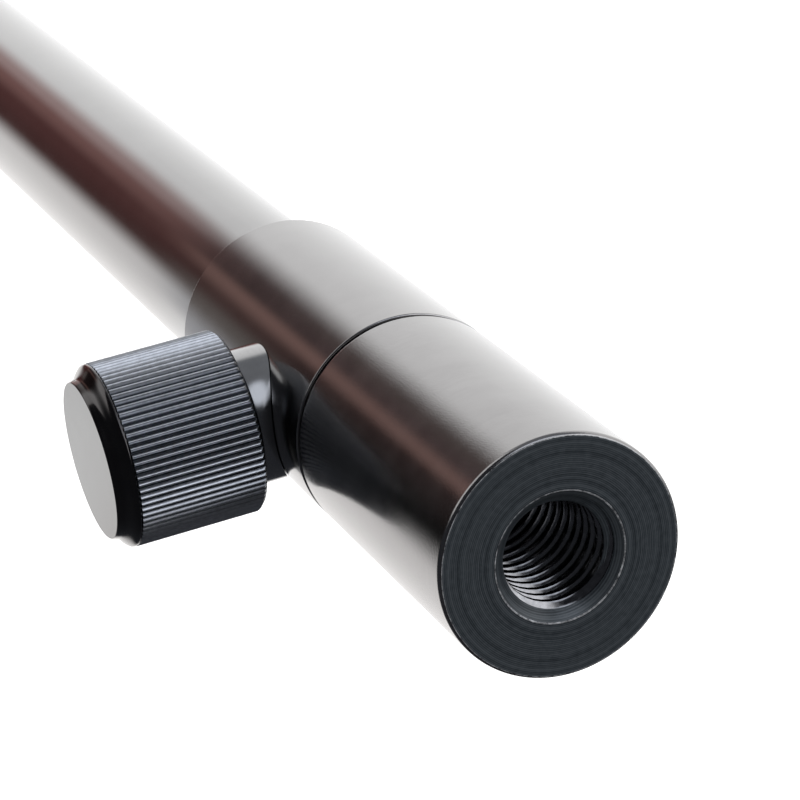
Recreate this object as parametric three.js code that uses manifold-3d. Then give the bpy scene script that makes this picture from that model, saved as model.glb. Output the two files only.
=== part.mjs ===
// Telescopic bank stick: a stick for the river bank that carries a rod rest on its threaded head.
// Millimetres, +Z up along the stick, origin at the tip of the ground spike, thumb screw towards -X.
// The stick is modelled closed, with the clamp screwed in.

import * as THREE from 'three';
import { mergeVertices } from 'three/addons/utils/BufferGeometryUtils.js';
import Module from 'manifold-3d';

const wasm = await Module();
wasm.setup();

// Shared by all pieces
const gap = 0.3; // between two pieces that touch, or that run in each other
const overrun = 1; // how far a cutter reaches past the face that it cuts
const largeFacets = 48; // sides of the tubes, the collar, the head and the knob
const smallFacets = 24; // sides of everything smaller
const threadFacets = 20; // sides of a threaded core, and steps in each turn of its thread

// Tubes
const outerTube = { diameter: 15.9, wall: 1, length: 225.3, endChamfer: 0.3 };
const innerTube = { clearance: 0.95, wall: 1.2, endChamfer: 0.3 }; // clearance all round, in the outer tube

// Ground spike and its pin
const spike = {
  noseRadius: 1,
  coneLength: 34,
  shankLength: 8,
  shoulderChamfer: 0.4,
  spigotLength: 16,
  spigotChamfer: 0.8,
};
const spikePin = { diameter: 3, wall: 0.5, slotWidth: 0.8 };

// Slider at the inner tube's lower end
const tailScrew = { headHeight: 2.4, slotWidth: 1, slotDepth: 1, length: 12 };
const tailWasher = { thickness: 1 };
const tailBush = { length: 10, chamfer: 0.6, airSlotWidth: 1.6, airSlotDepth: 0.8 };
const airSlotCount = 4;
const tailPlug = { flangeThickness: 1.5, spigotLength: 13, chamfer: 0.5 };
const tailShares = { journal: 0.667, screwHole: 0.383, screwHead: 0.583 }; // of the inner tube's diameter
const tailClearance = 3; // air under the tail screw when the stick is closed

// Collar at the outer tube's upper end, and its guide bush
const collar = { wall: 1.75, length: 30.5, lip: 1.5, edgeChamfer: 0.25 };
const collarBush = { length: 4, chamfer: 0.4 };
const padHoleWeb = 2.3; // metal left in the outer tube above the clamp pad's hole
const lipClearance = 0.5; // around the inner tube, so that it touches only the bush

// Threaded head, 3/8 inch by 20 threads an inch
const head = {
  length: 31,
  tubeSocketDepth: 10,
  rimChamferWidth: 0.31,
  rimChamferHeight: 0.45,
  edgeChamfer: 0.25,
};
const socket = { majorDiameter: 9.525, threadDepth: 0.76, pitch: 1.27, depth: 17, countersinkLip: 0.64 };
const drillHalfAngle = THREE.MathUtils.degToRad(59);
const bufferRing = { sectionDiameter: 1.6 };

// Thumb screw, its boss and its pad
const boss = { wall: 2.7, shoulder: 1.5, standOff: 1.35, endChamfer: 0.25 };
const stud = { diameter: 6, threadDepth: 0.6, pitch: 1, shankLength: 2.5, noseDiameter: 3 };
const pad = { length: 2.6, chamfer: 0.4, floor: 1 };
const knob = {
  diameter: 16.26,
  knurlLength: 11.25,
  fluteDepth: 0.32,
  rearChamfer: 0.35,
  grooveWidth: 0.25,
  grooveStep: 0.08,
  beadLength: 1.05,
  beadHeight: 1.05,
  discHeight: 0.65,
  coveWidth: 0.13,
  studHoleDepth: 8,
};
const fluteCount = 80;

// Outline of a thread's ridge and of a flute, as shares of one pitch
const ridgeShare = { root: 0.78, crest: 0.2 };
const fluteLandShare = 0.4;
const ridgeBite = 0.15; // how deep a thread's ridge is rooted in its core

// Sizes that follow from those above
const outerBore = outerTube.diameter - 2 * outerTube.wall;
const innerTubeDiameter = outerBore - 2 * innerTube.clearance;
const innerBore = innerTubeDiameter - 2 * innerTube.wall;
const slidingBore = innerTubeDiameter + 2 * gap;
const collarBore = outerTube.diameter + 2 * gap;
const bodyDiameter = collarBore + 2 * collar.wall;
const tailBushDiameter = outerBore - 2 * gap;
const journalDiameter = innerTubeDiameter * tailShares.journal;
const tailBushBore = journalDiameter + 2 * gap;
const tailScrewHole = innerTubeDiameter * tailShares.screwHole;
const tailScrewDiameter = tailScrewHole - 2 * gap;
const tailScrewHead = innerTubeDiameter * tailShares.screwHead;
const clampBore = stud.diameter + 2 * gap;
const bossDiameter = clampBore + 2 * boss.wall;
const bossSpigotDiameter = bossDiameter - 2 * boss.shoulder;
const pinBore = spikePin.diameter + 2 * gap;
const cutterReach = bodyDiameter / 2 + overrun;

// Heights up the stick, each from the one below it
const shoulderHeight = spike.coneLength + spike.shankLength;
const pinHeight = shoulderHeight + spike.spigotLength / 2;
const outerTubeBottom = shoulderHeight + gap;
const tailScrewBottom = shoulderHeight + spike.spigotLength + tailClearance;
const tailWasherBottom = tailScrewBottom + tailScrew.headHeight + gap;
const tailBushBottom = tailWasherBottom + tailWasher.thickness + gap;
const tailBushTop = tailBushBottom + tailBush.length;
const innerTubeBottom = tailBushTop + gap + tailPlug.flangeThickness + gap;
const outerTubeTop = outerTubeBottom + outerTube.length;
const clampHeight = outerTubeTop - padHoleWeb - clampBore / 2;
const collarBushBottom = outerTubeTop + gap;
const collarTop = collarBushBottom + collarBush.length + gap + collar.lip;
const collarBottom = collarTop - collar.length;
const headBottom = collarTop + gap;
const innerTubeTop = headBottom + head.tubeSocketDepth - gap;

// Distances out along the thumb screw, from the stick's axis
const padInner = innerTubeDiameter / 2 + gap;
const padOuter = padInner + pad.length;
const studTip = padOuter + gap;
const bossOuter = bodyDiameter / 2 + boss.standOff;
const knobRear = bossOuter + gap;

// Finishes
const blackAnodised = { color: 0x1d1b1d, roughness: 0.18, metalness: 0.9 };
const satinAnodised = { color: 0x2b2f33, roughness: 0.45, metalness: 0.8 };
const bareAluminium = { color: 0xb4b6b8, roughness: 0.35, metalness: 0.95 };
const steel = { color: 0x9a9da1, roughness: 0.3, metalness: 1 };
const whiteNylon = { color: 0xe6e3d8, roughness: 0.55, metalness: 0 };
const blackNylon = { color: 0x1a1a1c, roughness: 0.6, metalness: 0 };
const rubber = { color: 0x111111, roughness: 0.85, metalness: 0 };

// A closed mesh as a solid for joining and cutting
function toSolid(geometry) {
  const bare = geometry.clone();
  bare.deleteAttribute('normal');
  bare.deleteAttribute('uv');
  const welded = mergeVertices(bare);
  const index = welded.index.array;
  const kept = [];
  for (let i = 0; i < index.length; i += 3) {
    const [a, b, c] = [index[i], index[i + 1], index[i + 2]];
    if (a !== b && b !== c && c !== a) {
      kept.push(a, b, c);
    }
  }
  const vertProperties = new Float32Array(welded.attributes.position.array);
  return new wasm.Manifold(new wasm.Mesh({ numProp: 3, vertProperties, triVerts: new Uint32Array(kept) }));
}

// A solid as a mesh of its own, under the name of the piece
function piece(name, solid, finish, height = 0) {
  const { vertProperties, triVerts } = solid.getMesh();
  const geometry = new THREE.BufferGeometry();
  geometry.setAttribute('position', new THREE.BufferAttribute(new Float32Array(vertProperties), 3));
  geometry.setIndex(new THREE.BufferAttribute(new Uint32Array(triVerts), 1));
  const mesh = new THREE.Mesh(geometry, new THREE.MeshStandardMaterial({ ...finish, flatShading: true }));
  mesh.name = name;
  mesh.position.z = height;
  return mesh;
}

// A solid turned about Z from an outline of [radius, height] points, up the outside and down the inside
function turned(outline, facets = smallFacets) {
  const points = outline.map(([radius, height]) => new THREE.Vector2(radius, height));
  const geometry = new THREE.LatheGeometry(points, facets);
  geometry.rotateX(Math.PI / 2);
  return toSolid(geometry);
}

// A plain cylinder from one height to another
function cylinder(diameter, bottom, top, facets = smallFacets) {
  const radius = diameter / 2;
  return turned([[0, bottom], [radius, bottom], [radius, top], [0, top]], facets);
}

// A ring from height 0, with all four edges broken by the same chamfer
function ring(outerDiameter, innerDiameter, length, chamfer, facets = smallFacets) {
  const [outer, inner] = [outerDiameter / 2, innerDiameter / 2];
  const outline = [
    [inner + chamfer, 0],
    [outer - chamfer, 0],
    [outer, chamfer],
    [outer, length - chamfer],
    [outer - chamfer, length],
    [inner + chamfer, length],
    [inner, length - chamfer],
    [inner, chamfer],
    [inner + chamfer, 0],
  ];
  return turned(outline, facets);
}

// Points on an arc of an ellipse in the outline's plane, angles from the +radius direction
function arc(centre, halfWidth, halfHeight, from, to, steps) {
  const points = [];
  for (let i = 0; i <= steps; i += 1) {
    const angle = from + ((to - from) * i) / steps;
    points.push([centre[0] + halfWidth * Math.cos(angle), centre[1] + halfHeight * Math.sin(angle)]);
  }
  return points;
}

// The cutter of a hole from the stick's axis out along -X
function clampSideCutter(diameter, height) {
  return cylinder(diameter, 0, cutterReach).rotate([0, -90, 0]).translate([0, 0, height]);
}

// The cutter of a hole right through the stick along Y
function pinCutter(height) {
  return cylinder(pinBore, -cutterReach, cutterReach).rotate([90, 0, 0]).translate([0, 0, height]);
}

// One unbroken right-hand ridge from height 0, rooted in a core of the minor radius
function threadRidge(minor, major, pitch, length) {
  const rootHalf = (pitch * ridgeShare.root) / 2;
  const crestHalf = (pitch * ridgeShare.crest) / 2;
  const section = [
    [minor - ridgeBite, -rootHalf],
    [major, -crestHalf],
    [major, crestHalf],
    [minor - ridgeBite, rootHalf],
  ];
  const steps = Math.round((length / pitch) * threadFacets);
  const positions = [];
  const index = [];
  for (let i = 0; i <= steps; i += 1) {
    const turn = i / threadFacets;
    const angle = turn * 2 * Math.PI;
    for (const [radius, height] of section) {
      positions.push(radius * Math.cos(angle), radius * Math.sin(angle), height + turn * pitch);
    }
  }
  for (let i = 0; i < steps; i += 1) {
    for (let k = 0; k < section.length; k += 1) {
      const next = (k + 1) % section.length;
      const [a, b] = [i * section.length + k, i * section.length + next];
      const [c, d] = [b + section.length, a + section.length];
      index.push(a, d, c, a, c, b);
    }
  }
  const last = steps * section.length;
  index.push(0, 1, 2, 0, 2, 3, last, last + 2, last + 1, last, last + 3, last + 2);
  const geometry = new THREE.BufferGeometry();
  geometry.setAttribute('position', new THREE.BufferAttribute(new Float32Array(positions), 3));
  geometry.setIndex(index);
  return toSolid(geometry);
}

// Turned point with a rounded nose, and the spigot that fits the outer tube
function groundSpike() {
  const radius = outerTube.diameter / 2;
  const spigotRadius = outerBore / 2 - gap;
  const rise = spike.coneLength - spike.noseRadius;
  const tangent = Math.atan2(rise, radius) - Math.acos(spike.noseRadius / Math.hypot(radius, rise));
  const outline = [
    ...arc([0, spike.noseRadius], spike.noseRadius, spike.noseRadius, -Math.PI / 2, tangent, 5),
    [radius, spike.coneLength],
    [radius, shoulderHeight - spike.shoulderChamfer],
    [radius - spike.shoulderChamfer, shoulderHeight],
    [spigotRadius, shoulderHeight],
    [spigotRadius, shoulderHeight + spike.spigotLength - spike.spigotChamfer],
    [spigotRadius - spike.spigotChamfer, shoulderHeight + spike.spigotLength],
    [0, shoulderHeight + spike.spigotLength],
  ];
  return turned(outline, largeFacets).subtract(pinCutter(pinHeight));
}

// Rolled spring pin with its slot, along Z from height 0
function rolledPin() {
  const radius = spikePin.diameter / 2;
  const bore = radius - spikePin.wall;
  const outerHalf = Math.asin(spikePin.slotWidth / 2 / radius);
  const boreHalf = Math.asin(spikePin.slotWidth / 2 / bore);
  const outline = new THREE.Shape();
  outline.absarc(0, 0, radius, outerHalf, 2 * Math.PI - outerHalf, false);
  outline.absarc(0, 0, bore, 2 * Math.PI - boreHalf, boreHalf, true);
  const depth = outerTube.diameter - 2 * gap;
  const curveSegments = smallFacets / 2;
  return toSolid(new THREE.ExtrudeGeometry(outline, { depth, bevelEnabled: false, curveSegments }));
}

// Main tube, drilled for the spike's pin and for the clamp pad
function mainTube() {
  const tube = ring(outerTube.diameter, outerBore, outerTube.length, outerTube.endChamfer, largeFacets);
  const pinHole = pinCutter(pinHeight - outerTubeBottom);
  const padHole = clampSideCutter(clampBore, clampHeight - outerTubeBottom);
  return tube.subtract(pinHole).subtract(padHole);
}

// Collar with its lip over the guide bush, drilled for the boss's spigot
function clampCollar() {
  const [outer, bore, lipBore] = [bodyDiameter / 2, collarBore / 2, innerTubeDiameter / 2 + lipClearance];
  const edge = collar.edgeChamfer;
  const outline = [
    [bore + edge, 0],
    [outer - edge, 0],
    [outer, edge],
    [outer, collar.length - edge],
    [outer - edge, collar.length],
    [lipBore + edge, collar.length],
    [lipBore, collar.length - edge],
    [lipBore, collar.length - collar.lip],
    [bore, collar.length - collar.lip],
    [bore, edge],
    [bore + edge, 0],
  ];
  const bossHole = clampSideCutter(bossSpigotDiameter + 2 * gap, clampHeight - collarBottom);
  return turned(outline, largeFacets).subtract(bossHole);
}

// Boss on the collar's side: a saddle seat, a spigot through the collar's wall and a bore for the stud
function clampBoss() {
  const radius = bossDiameter / 2;
  const barrel = turned([
    [0, 0],
    [radius, 0],
    [radius, bossOuter - boss.endChamfer],
    [radius - boss.endChamfer, bossOuter],
    [0, bossOuter],
  ], largeFacets);
  const seatDiameter = bodyDiameter + 2 * gap;
  const seatCutter = cylinder(seatDiameter, -cutterReach, cutterReach, largeFacets).rotate([0, 90, 0]);
  const spigot = cylinder(bossSpigotDiameter, collarBore / 2, bossOuter - boss.endChamfer);
  const bore = cylinder(clampBore, 0, bossOuter + overrun);
  return barrel.subtract(seatCutter).add(spigot).subtract(bore);
}

// Head: threaded socket in the turned face, and a socket for the inner tube underneath
function threadedHead() {
  const [outer, tubeSocket] = [bodyDiameter / 2, slidingBore / 2];
  const ringSeat = tubeSocket + bufferRing.sectionDiameter + gap;
  const ringSeatDepth = bufferRing.sectionDiameter + gap;
  const outline = [
    [ringSeat, 0],
    [outer - head.edgeChamfer, 0],
    [outer, head.edgeChamfer],
    [outer, head.length - head.rimChamferHeight],
    [outer - head.rimChamferWidth, head.length],
    [0, head.length],
    [0, head.tubeSocketDepth],
    [tubeSocket, head.tubeSocketDepth],
    [tubeSocket, ringSeatDepth],
    [ringSeat, ringSeatDepth],
    [ringSeat, 0],
  ];
  return turned(outline, largeFacets).subtract(tap().translate([0, 0, head.length - socket.depth]));
}

// What the drill, the countersink and the tap take out of the head, with the drilled floor at height 0
function tap() {
  const minor = socket.majorDiameter / 2 - socket.threadDepth;
  const rim = socket.majorDiameter / 2 + socket.countersinkLip;
  const drilled = turned([
    [0, -minor / Math.tan(drillHalfAngle)],
    [minor, 0],
    [minor, socket.depth - (rim - minor)],
    [rim + overrun, socket.depth + overrun],
    [0, socket.depth + overrun],
  ], threadFacets);
  const ridge = threadRidge(minor, socket.majorDiameter / 2, socket.pitch, socket.depth);
  return drilled.add(ridge.translate([0, 0, socket.pitch]));
}

// Rubber ring in the head's underside
function rubberRing() {
  const section = bufferRing.sectionDiameter / 2;
  const centre = slidingBore / 2 + section;
  const geometry = new THREE.TorusGeometry(centre, section, smallFacets / 4, largeFacets / 2);
  return toSolid(geometry).translate([0, 0, section]);
}

// Telescopic tube
function slidingTube() {
  const length = innerTubeTop - innerTubeBottom;
  return ring(innerTubeDiameter, innerBore, length, innerTube.endChamfer, largeFacets);
}

// Plug in the inner tube's lower end: journal for the slider, flange, and the spigot in the tube
function plug() {
  const [journal, flange, spigot] = [journalDiameter / 2, innerTubeDiameter / 2, innerBore / 2 - gap];
  const flangeBottom = tailBush.length + gap;
  const flangeTop = flangeBottom + tailPlug.flangeThickness;
  const top = flangeTop + gap + tailPlug.spigotLength;
  const outline = [
    [0, 0],
    [journal, 0],
    [journal, flangeBottom],
    [flange, flangeBottom],
    [flange, flangeTop],
    [spigot, flangeTop],
    [spigot, top - tailPlug.chamfer],
    [spigot - tailPlug.chamfer, top],
    [0, top],
  ];
  const screwHole = cylinder(tailScrewHole, -overrun, tailScrew.length + gap);
  return turned(outline).subtract(screwHole);
}

// Slider on the plug's journal, with slots that let the air past
function slider() {
  const slotLength = tailBush.length + 2 * overrun;
  const slot = new THREE.BoxGeometry(2 * tailBush.airSlotDepth, tailBush.airSlotWidth, slotLength);
  slot.translate(tailBushDiameter / 2, 0, tailBush.length / 2);
  const cutter = toSolid(slot);
  let solid = ring(tailBushDiameter, tailBushBore, tailBush.length, tailBush.chamfer);
  for (let i = 0; i < airSlotCount; i += 1) {
    solid = solid.subtract(cutter.rotate([0, 0, (360 * i) / airSlotCount]));
  }
  return solid;
}

// Slotted screw, with its head's face at height 0
function slottedScrew() {
  const [shank, headRadius] = [tailScrewDiameter / 2, tailScrewHead / 2];
  const seat = tailScrew.headHeight;
  const tip = tailWasherBottom - tailScrewBottom + tailWasher.thickness + tailScrew.length;
  const outline = [
    [0, 0],
    ...arc([headRadius / 2, seat / 2], headRadius / 2, seat / 2, -Math.PI / 2, 0, 4),
    [headRadius, seat],
    [shank, seat],
    [shank, tip],
    [0, tip],
  ];
  const slotLength = tailScrewHead + 2 * overrun;
  const slot = new THREE.BoxGeometry(slotLength, tailScrew.slotWidth, 2 * tailScrew.slotDepth);
  return turned(outline).subtract(toSolid(slot));
}

// Nylon shoe on the stud's nose, out along Z from the inner tube's surface
function clampPad() {
  const radius = stud.diameter / 2;
  const outline = [
    [0, 0],
    [radius - pad.chamfer, 0],
    [radius, pad.chamfer],
    [radius, pad.length],
    [0, pad.length],
  ];
  const noseHole = cylinder(stud.noseDiameter + 2 * gap, pad.floor, pad.length + overrun);
  return turned(outline).subtract(noseHole);
}

// Stud with its thread, a plain end in the knob and a nose in the pad, from its shoulder at height 0
function threadedStud() {
  const [major, nose] = [stud.diameter / 2, stud.noseDiameter / 2];
  const root = major - stud.threadDepth;
  const noseEnd = padInner + pad.floor + gap - studTip;
  const top = knobRear + knob.studHoleDepth - gap - studTip;
  const threadTop = top - stud.shankLength - stud.threadDepth;
  const core = turned([
    [0, noseEnd],
    [nose, noseEnd],
    [nose, 0],
    [root, 0],
    [root, threadTop],
    [major, threadTop + stud.threadDepth],
    [major, top],
    [0, top],
  ], threadFacets);
  const ridge = threadRidge(root, major, stud.pitch, threadTop - stud.pitch);
  return core.add(ridge.translate([0, 0, stud.pitch]));
}

// Cross-section of the knurled part of the knob
function flutedShape() {
  const [crest, root] = [knob.diameter / 2, knob.diameter / 2 - knob.fluteDepth];
  const pitchAngle = (2 * Math.PI) / fluteCount;
  const landHalf = (pitchAngle * fluteLandShare) / 2;
  const points = [];
  for (let i = 0; i < fluteCount; i += 1) {
    const middle = i * pitchAngle;
    for (const [radius, angle] of [[crest, middle - landHalf], [crest, middle + landHalf]]) {
      points.push(new THREE.Vector2(radius * Math.cos(angle), radius * Math.sin(angle)));
    }
    const valley = middle + pitchAngle / 2;
    points.push(new THREE.Vector2(root * Math.cos(valley), root * Math.sin(valley)));
  }
  return new THREE.Shape(points);
}

// Knob: straight knurl, a groove, a rounded bead and a raised flat disc, from its rear face at height 0
function knurledKnob() {
  const radius = knob.diameter / 2;
  const grooveRadius = radius - knob.fluteDepth - knob.grooveStep;
  const beadRoot = radius - knob.beadHeight;
  const disc = beadRoot - knob.coveWidth;
  const grooveTop = knob.knurlLength + knob.grooveWidth;
  const beadTop = grooveTop + knob.beadLength;
  const front = beadTop + knob.discHeight;
  const barrel = new THREE.ExtrudeGeometry(flutedShape(), { depth: knob.knurlLength, bevelEnabled: false });
  const rearTurning = turned([
    [0, 0],
    [radius - knob.rearChamfer, 0],
    [radius + overrun, knob.rearChamfer + overrun],
    [radius + overrun, knob.knurlLength],
    [0, knob.knurlLength],
  ], largeFacets);
  const frontTurning = turned([
    [0, knob.rearChamfer],
    [grooveRadius, knob.rearChamfer],
    [grooveRadius, grooveTop],
    ...arc([beadRoot, grooveTop], knob.beadHeight, knob.beadLength, 0, Math.PI / 2, 6),
    [disc + knob.coveWidth / 2, beadTop + knob.coveWidth / 2],
    [disc, front],
    [0, front],
  ], largeFacets);
  const studHole = cylinder(stud.diameter + 2 * gap, -overrun, knob.studHoleDepth);
  return toSolid(barrel).intersect(rearTurning).add(frontTurning).subtract(studHole);
}

// Thumb screw and boss, built out along Z and turned so that they point along -X from the stick's axis
function clampGroup() {
  const group = new THREE.Group();
  group.position.z = clampHeight;
  group.rotation.y = -Math.PI / 2;
  group.add(
    piece('clamp_boss', clampBoss(), blackAnodised),
    piece('clamp_pad', clampPad(), whiteNylon, padInner),
    piece('thumb_screw', threadedStud(), steel, studTip),
    piece('thumb_knob', knurledKnob(), satinAnodised, knobRear),
  );
  return group;
}

// What stays in the ground
function outerGroup() {
  const group = new THREE.Group();
  const pin = piece('spike_pin', rolledPin(), steel, pinHeight);
  pin.rotation.x = Math.PI / 2;
  pin.position.y = outerTube.diameter / 2 - gap;
  group.add(
    piece('ground_spike', groundSpike(), blackAnodised),
    pin,
    piece('outer_tube', mainTube(), blackAnodised, outerTubeBottom),
    piece('clamp_collar', clampCollar(), blackAnodised, collarBottom),
    piece('collar_bush', ring(collarBore - 2 * gap, slidingBore, collarBush.length, collarBush.chamfer),
      blackNylon, collarBushBottom),
  );
  return group;
}

// What slides and turns in it
function innerGroup() {
  const group = new THREE.Group();
  group.add(
    piece('tail_screw', slottedScrew(), steel, tailScrewBottom),
    piece('tail_washer', ring(innerTubeDiameter, tailScrewHole, tailWasher.thickness, 0), steel,
      tailWasherBottom),
    piece('tail_bush', slider(), whiteNylon, tailBushBottom),
    piece('tail_plug', plug(), bareAluminium, tailBushBottom),
    piece('inner_tube', slidingTube(), blackAnodised, innerTubeBottom),
    piece('buffer_ring', rubberRing(), rubber, headBottom),
    piece('threaded_head', threadedHead(), blackAnodised, headBottom),
  );
  return group;
}

const bankStick = new THREE.Group();
bankStick.add(outerGroup(), innerGroup(), clampGroup());

export default bankStick;
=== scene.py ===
"""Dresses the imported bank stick: its turned pieces, their finishes, a pale studio and the camera.

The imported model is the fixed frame. Each piece is turned anew with fine facets where its solid stands, in
millimetres up the stick from the tip of the spike, and rides on the same body.
"""

import logging
import math
from dataclasses import dataclass, field
from enum import Enum
from typing import Any, Callable, ClassVar

import bmesh
import bpy
from mathutils import Matrix, Vector


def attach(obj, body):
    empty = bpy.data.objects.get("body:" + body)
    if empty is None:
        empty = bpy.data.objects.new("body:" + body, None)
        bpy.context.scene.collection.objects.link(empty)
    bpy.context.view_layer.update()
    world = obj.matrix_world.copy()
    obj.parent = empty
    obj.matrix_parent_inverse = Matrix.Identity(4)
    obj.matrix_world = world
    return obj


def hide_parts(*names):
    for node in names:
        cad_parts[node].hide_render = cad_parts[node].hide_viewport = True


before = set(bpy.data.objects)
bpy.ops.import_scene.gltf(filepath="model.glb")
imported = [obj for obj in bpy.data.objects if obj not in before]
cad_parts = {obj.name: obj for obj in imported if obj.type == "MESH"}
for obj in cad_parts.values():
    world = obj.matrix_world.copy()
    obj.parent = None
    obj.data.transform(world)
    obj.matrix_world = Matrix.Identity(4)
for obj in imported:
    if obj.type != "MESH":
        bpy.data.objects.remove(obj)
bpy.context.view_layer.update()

MM = 0.001  # metres in a millimetre
WELD = 0.001 * MM  # distance in metres within which two vertices are one
NEAR = 10 * WELD  # distance in metres within which a vertex is where it was left
SKIN = 0.01  # thickness in millimetres of what counts as a piece's flat end
FINE = 192  # vertices in the rings of a large piece
MEDIUM = 96  # vertices in the rings of a piece inside the tubes
COARSE = 64  # vertices in the rings of a small piece or a cutter
OVERRUN = 1.0  # how far a cutter reaches past what it cuts, in millimetres
SHARP_FROM = 28.0  # degrees between two faces from which their edge is broken
SMOOTH_TO = 32.0  # degrees between two faces up to which they are shaded as one

Point = tuple[float, float]
Outline = list[Point]
Colour = tuple[float, float, float]
Piece = bpy.types.Object
Socket = bpy.types.NodeSocket
Stops = tuple[tuple[float, Colour], ...]

BLOTS: Point = (0.3, 0.7)  # the part of its range that noise fills

# Tones of the studio's floor and walls.
WHITE: Colour = (1.0, 1.0, 1.0)
CREAM: Colour = (0.9, 0.88, 0.87)
GREY: Colour = (0.24, 0.25, 0.27)
WALL: Colour = (0.03, 0.032, 0.038)

log = logging.getLogger("bank_stick")


class Edge(Enum):
    """How far a sharp edge is broken, as a width in millimetres."""

    FILED = 0.12
    EASED = 0.08
    WIPED = 0.06
    STONED = 0.05
    CRISP = 0.04


# ---------------------------------------------------------------------------------------------- shaping tools


def hold(piece: Piece) -> None:
    """Make one piece the only selected and the active one.

    Args:
        piece: The piece that the next operators act on.
    """
    bpy.ops.object.select_all(action="DESELECT")
    piece.select_set(True)
    bpy.context.view_layer.objects.active = piece


def pick(piece: Piece, wanted: Callable[[Vector], bool], faces: bool = False) -> None:
    """Select the vertices or faces of a piece in edit mode by their place.

    Args:
        piece: The piece in edit mode.
        wanted: Says of a place in metres whether what lies there is selected.
        faces: Selects faces by their centres instead of vertices.
    """
    bpy.ops.mesh.select_mode(type="FACE" if faces else "VERT")
    bpy.ops.mesh.select_all(action="DESELECT")
    shape = bmesh.from_edit_mesh(piece.data)
    if faces:
        for face in shape.faces:
            face.select_set(wanted(face.calc_center_median()))
    else:
        for vertex in shape.verts:
            vertex.select_set(wanted(vertex.co))
        shape.select_flush_mode()
    bmesh.update_edit_mesh(piece.data)


def machine(piece: Piece, kind: str, **settings: Any) -> None:
    """Give a piece a modifier and apply it.

    Args:
        piece: The piece to work on.
        kind: The modifier's type.
        **settings: The modifier's own settings.
    """
    hold(piece)
    bpy.ops.object.modifier_add(type=kind)
    modifier = piece.modifiers[-1]
    for name, value in settings.items():
        setattr(modifier, name, value)
    bpy.ops.object.modifier_apply(modifier=modifier.name)


def turn(name: str, outline: Outline, segments: int = FINE) -> Piece:
    """Turn a closed piece about Z by drawing one ring of vertices from point to point.

    Args:
        name: The piece's name.
        outline: Points of radius and height in millimetres. One that comes back to its first point makes a
            ring, and any other is capped at both ends.
        segments: Vertices in the ring.

    Returns:
        The turned piece, with its place in its mesh.
    """
    piece = first_ring(name, outline[0], segments)
    draw(outline[0], outline[1:])
    close_up(ring=outline[0] == outline[-1])
    return piece


def first_ring(name: str, at: Point, segments: int) -> Piece:
    """Start a piece with one ring of vertices and stay in edit mode, with the ring selected.

    Args:
        name: The piece's name.
        at: Radius and height of the ring in millimetres.
        segments: Vertices in the ring.

    Returns:
        The piece.
    """
    bpy.ops.object.select_all(action="DESELECT")
    bpy.ops.mesh.primitive_circle_add(vertices=segments, radius=at[0] * MM, location=(0, 0, at[1] * MM))
    piece = bpy.context.object
    piece.name = piece.data.name = name
    bpy.ops.object.transform_apply(location=True, rotation=False, scale=False)
    bpy.ops.object.mode_set(mode="EDIT")
    bpy.ops.mesh.select_mode(type="VERT")
    bpy.ops.mesh.select_all(action="SELECT")
    return piece


def draw(start: Point, outline: Outline) -> Point:
    """Draw the selected ring of vertices from point to point.

    Args:
        start: Radius and height of the ring in millimetres.
        outline: Radius and height of each ring that follows.

    Returns:
        Radius and height of the last ring.
    """
    radius, height = start
    for next_radius, next_height in outline:
        rise = (next_height - height) * MM
        bpy.ops.mesh.extrude_region_move(TRANSFORM_OT_translate={"value": (0, 0, rise)})
        share = next_radius / radius
        bpy.ops.transform.resize(value=(share, share, 1), center_override=(0, 0, next_height * MM))
        radius, height = next_radius, next_height
    return radius, height


def numbered(at: Vector, count: int) -> int:
    """Give the number of a vertex in a ring of a count of them, from its place."""
    return round((math.atan2(at.y, at.x) % (2 * math.pi)) / (2 * math.pi) * count) % count


def close_up(ring: bool = False) -> None:
    """Close the mesh in edit mode, face it outwards and leave edit mode.

    Args:
        ring: The last ring lies on the first and is merged with it; otherwise open ends are capped.
    """
    bpy.ops.mesh.select_mode(type="VERT")
    bpy.ops.mesh.select_all(action="SELECT")
    if ring:
        bpy.ops.mesh.remove_doubles(threshold=WELD)
    else:
        bpy.ops.mesh.fill_holes(sides=0)
    bpy.ops.mesh.select_all(action="SELECT")
    bpy.ops.mesh.normals_make_consistent(inside=False)
    bpy.ops.object.mode_set(mode="OBJECT")


def arc(centre: Point, half_width: float, half_height: float, start: float, end: float,
        steps: int) -> Outline:
    """Give the points of an arc for an outline.

    Args:
        centre: Radius and height of the arc's centre in millimetres.
        half_width: Its reach away from the axis.
        half_height: Its reach along the axis.
        start: First angle in degrees, from the direction away from the axis.
        end: Last angle in degrees.
        steps: Number of straight steps.

    Returns:
        The points, both ends included.
    """
    angles = [math.radians(start + (end - start) * i / steps) for i in range(steps + 1)]
    return [(centre[0] + half_width * math.cos(a), centre[1] + half_height * math.sin(a)) for a in angles]


def sleeve(bore: float, outer: float, bottom: float, top: float, chamfer: float,
           guards: tuple[float, ...] = (), broken_bore: bool = True) -> Outline:
    """Give the outline of a tube, bush or washer with chamfered edges.

    Args:
        bore: Radius of its bore in millimetres.
        outer: Radius of its outside.
        bottom: Height of its lower end.
        top: Height of its upper end.
        chamfer: Width of its chamfers.
        guards: Heights of extra rings outside, which keep long slivers away from a cross hole.
        broken_bore: Chamfers the bore's edges as well.

    Returns:
        The outline, back at its first point.
    """
    inside = [(bore, top), (bore, bottom)]
    if broken_bore:
        inside = [(bore + chamfer, top), (bore, top - chamfer),
                  (bore, bottom + chamfer), (bore + chamfer, bottom)]
    outside = [(outer - chamfer, bottom), (outer, bottom + chamfer), *[(outer, height) for height in guards],
               (outer, top - chamfer), (outer - chamfer, top)]
    return [inside[-1]] + outside + inside


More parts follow.
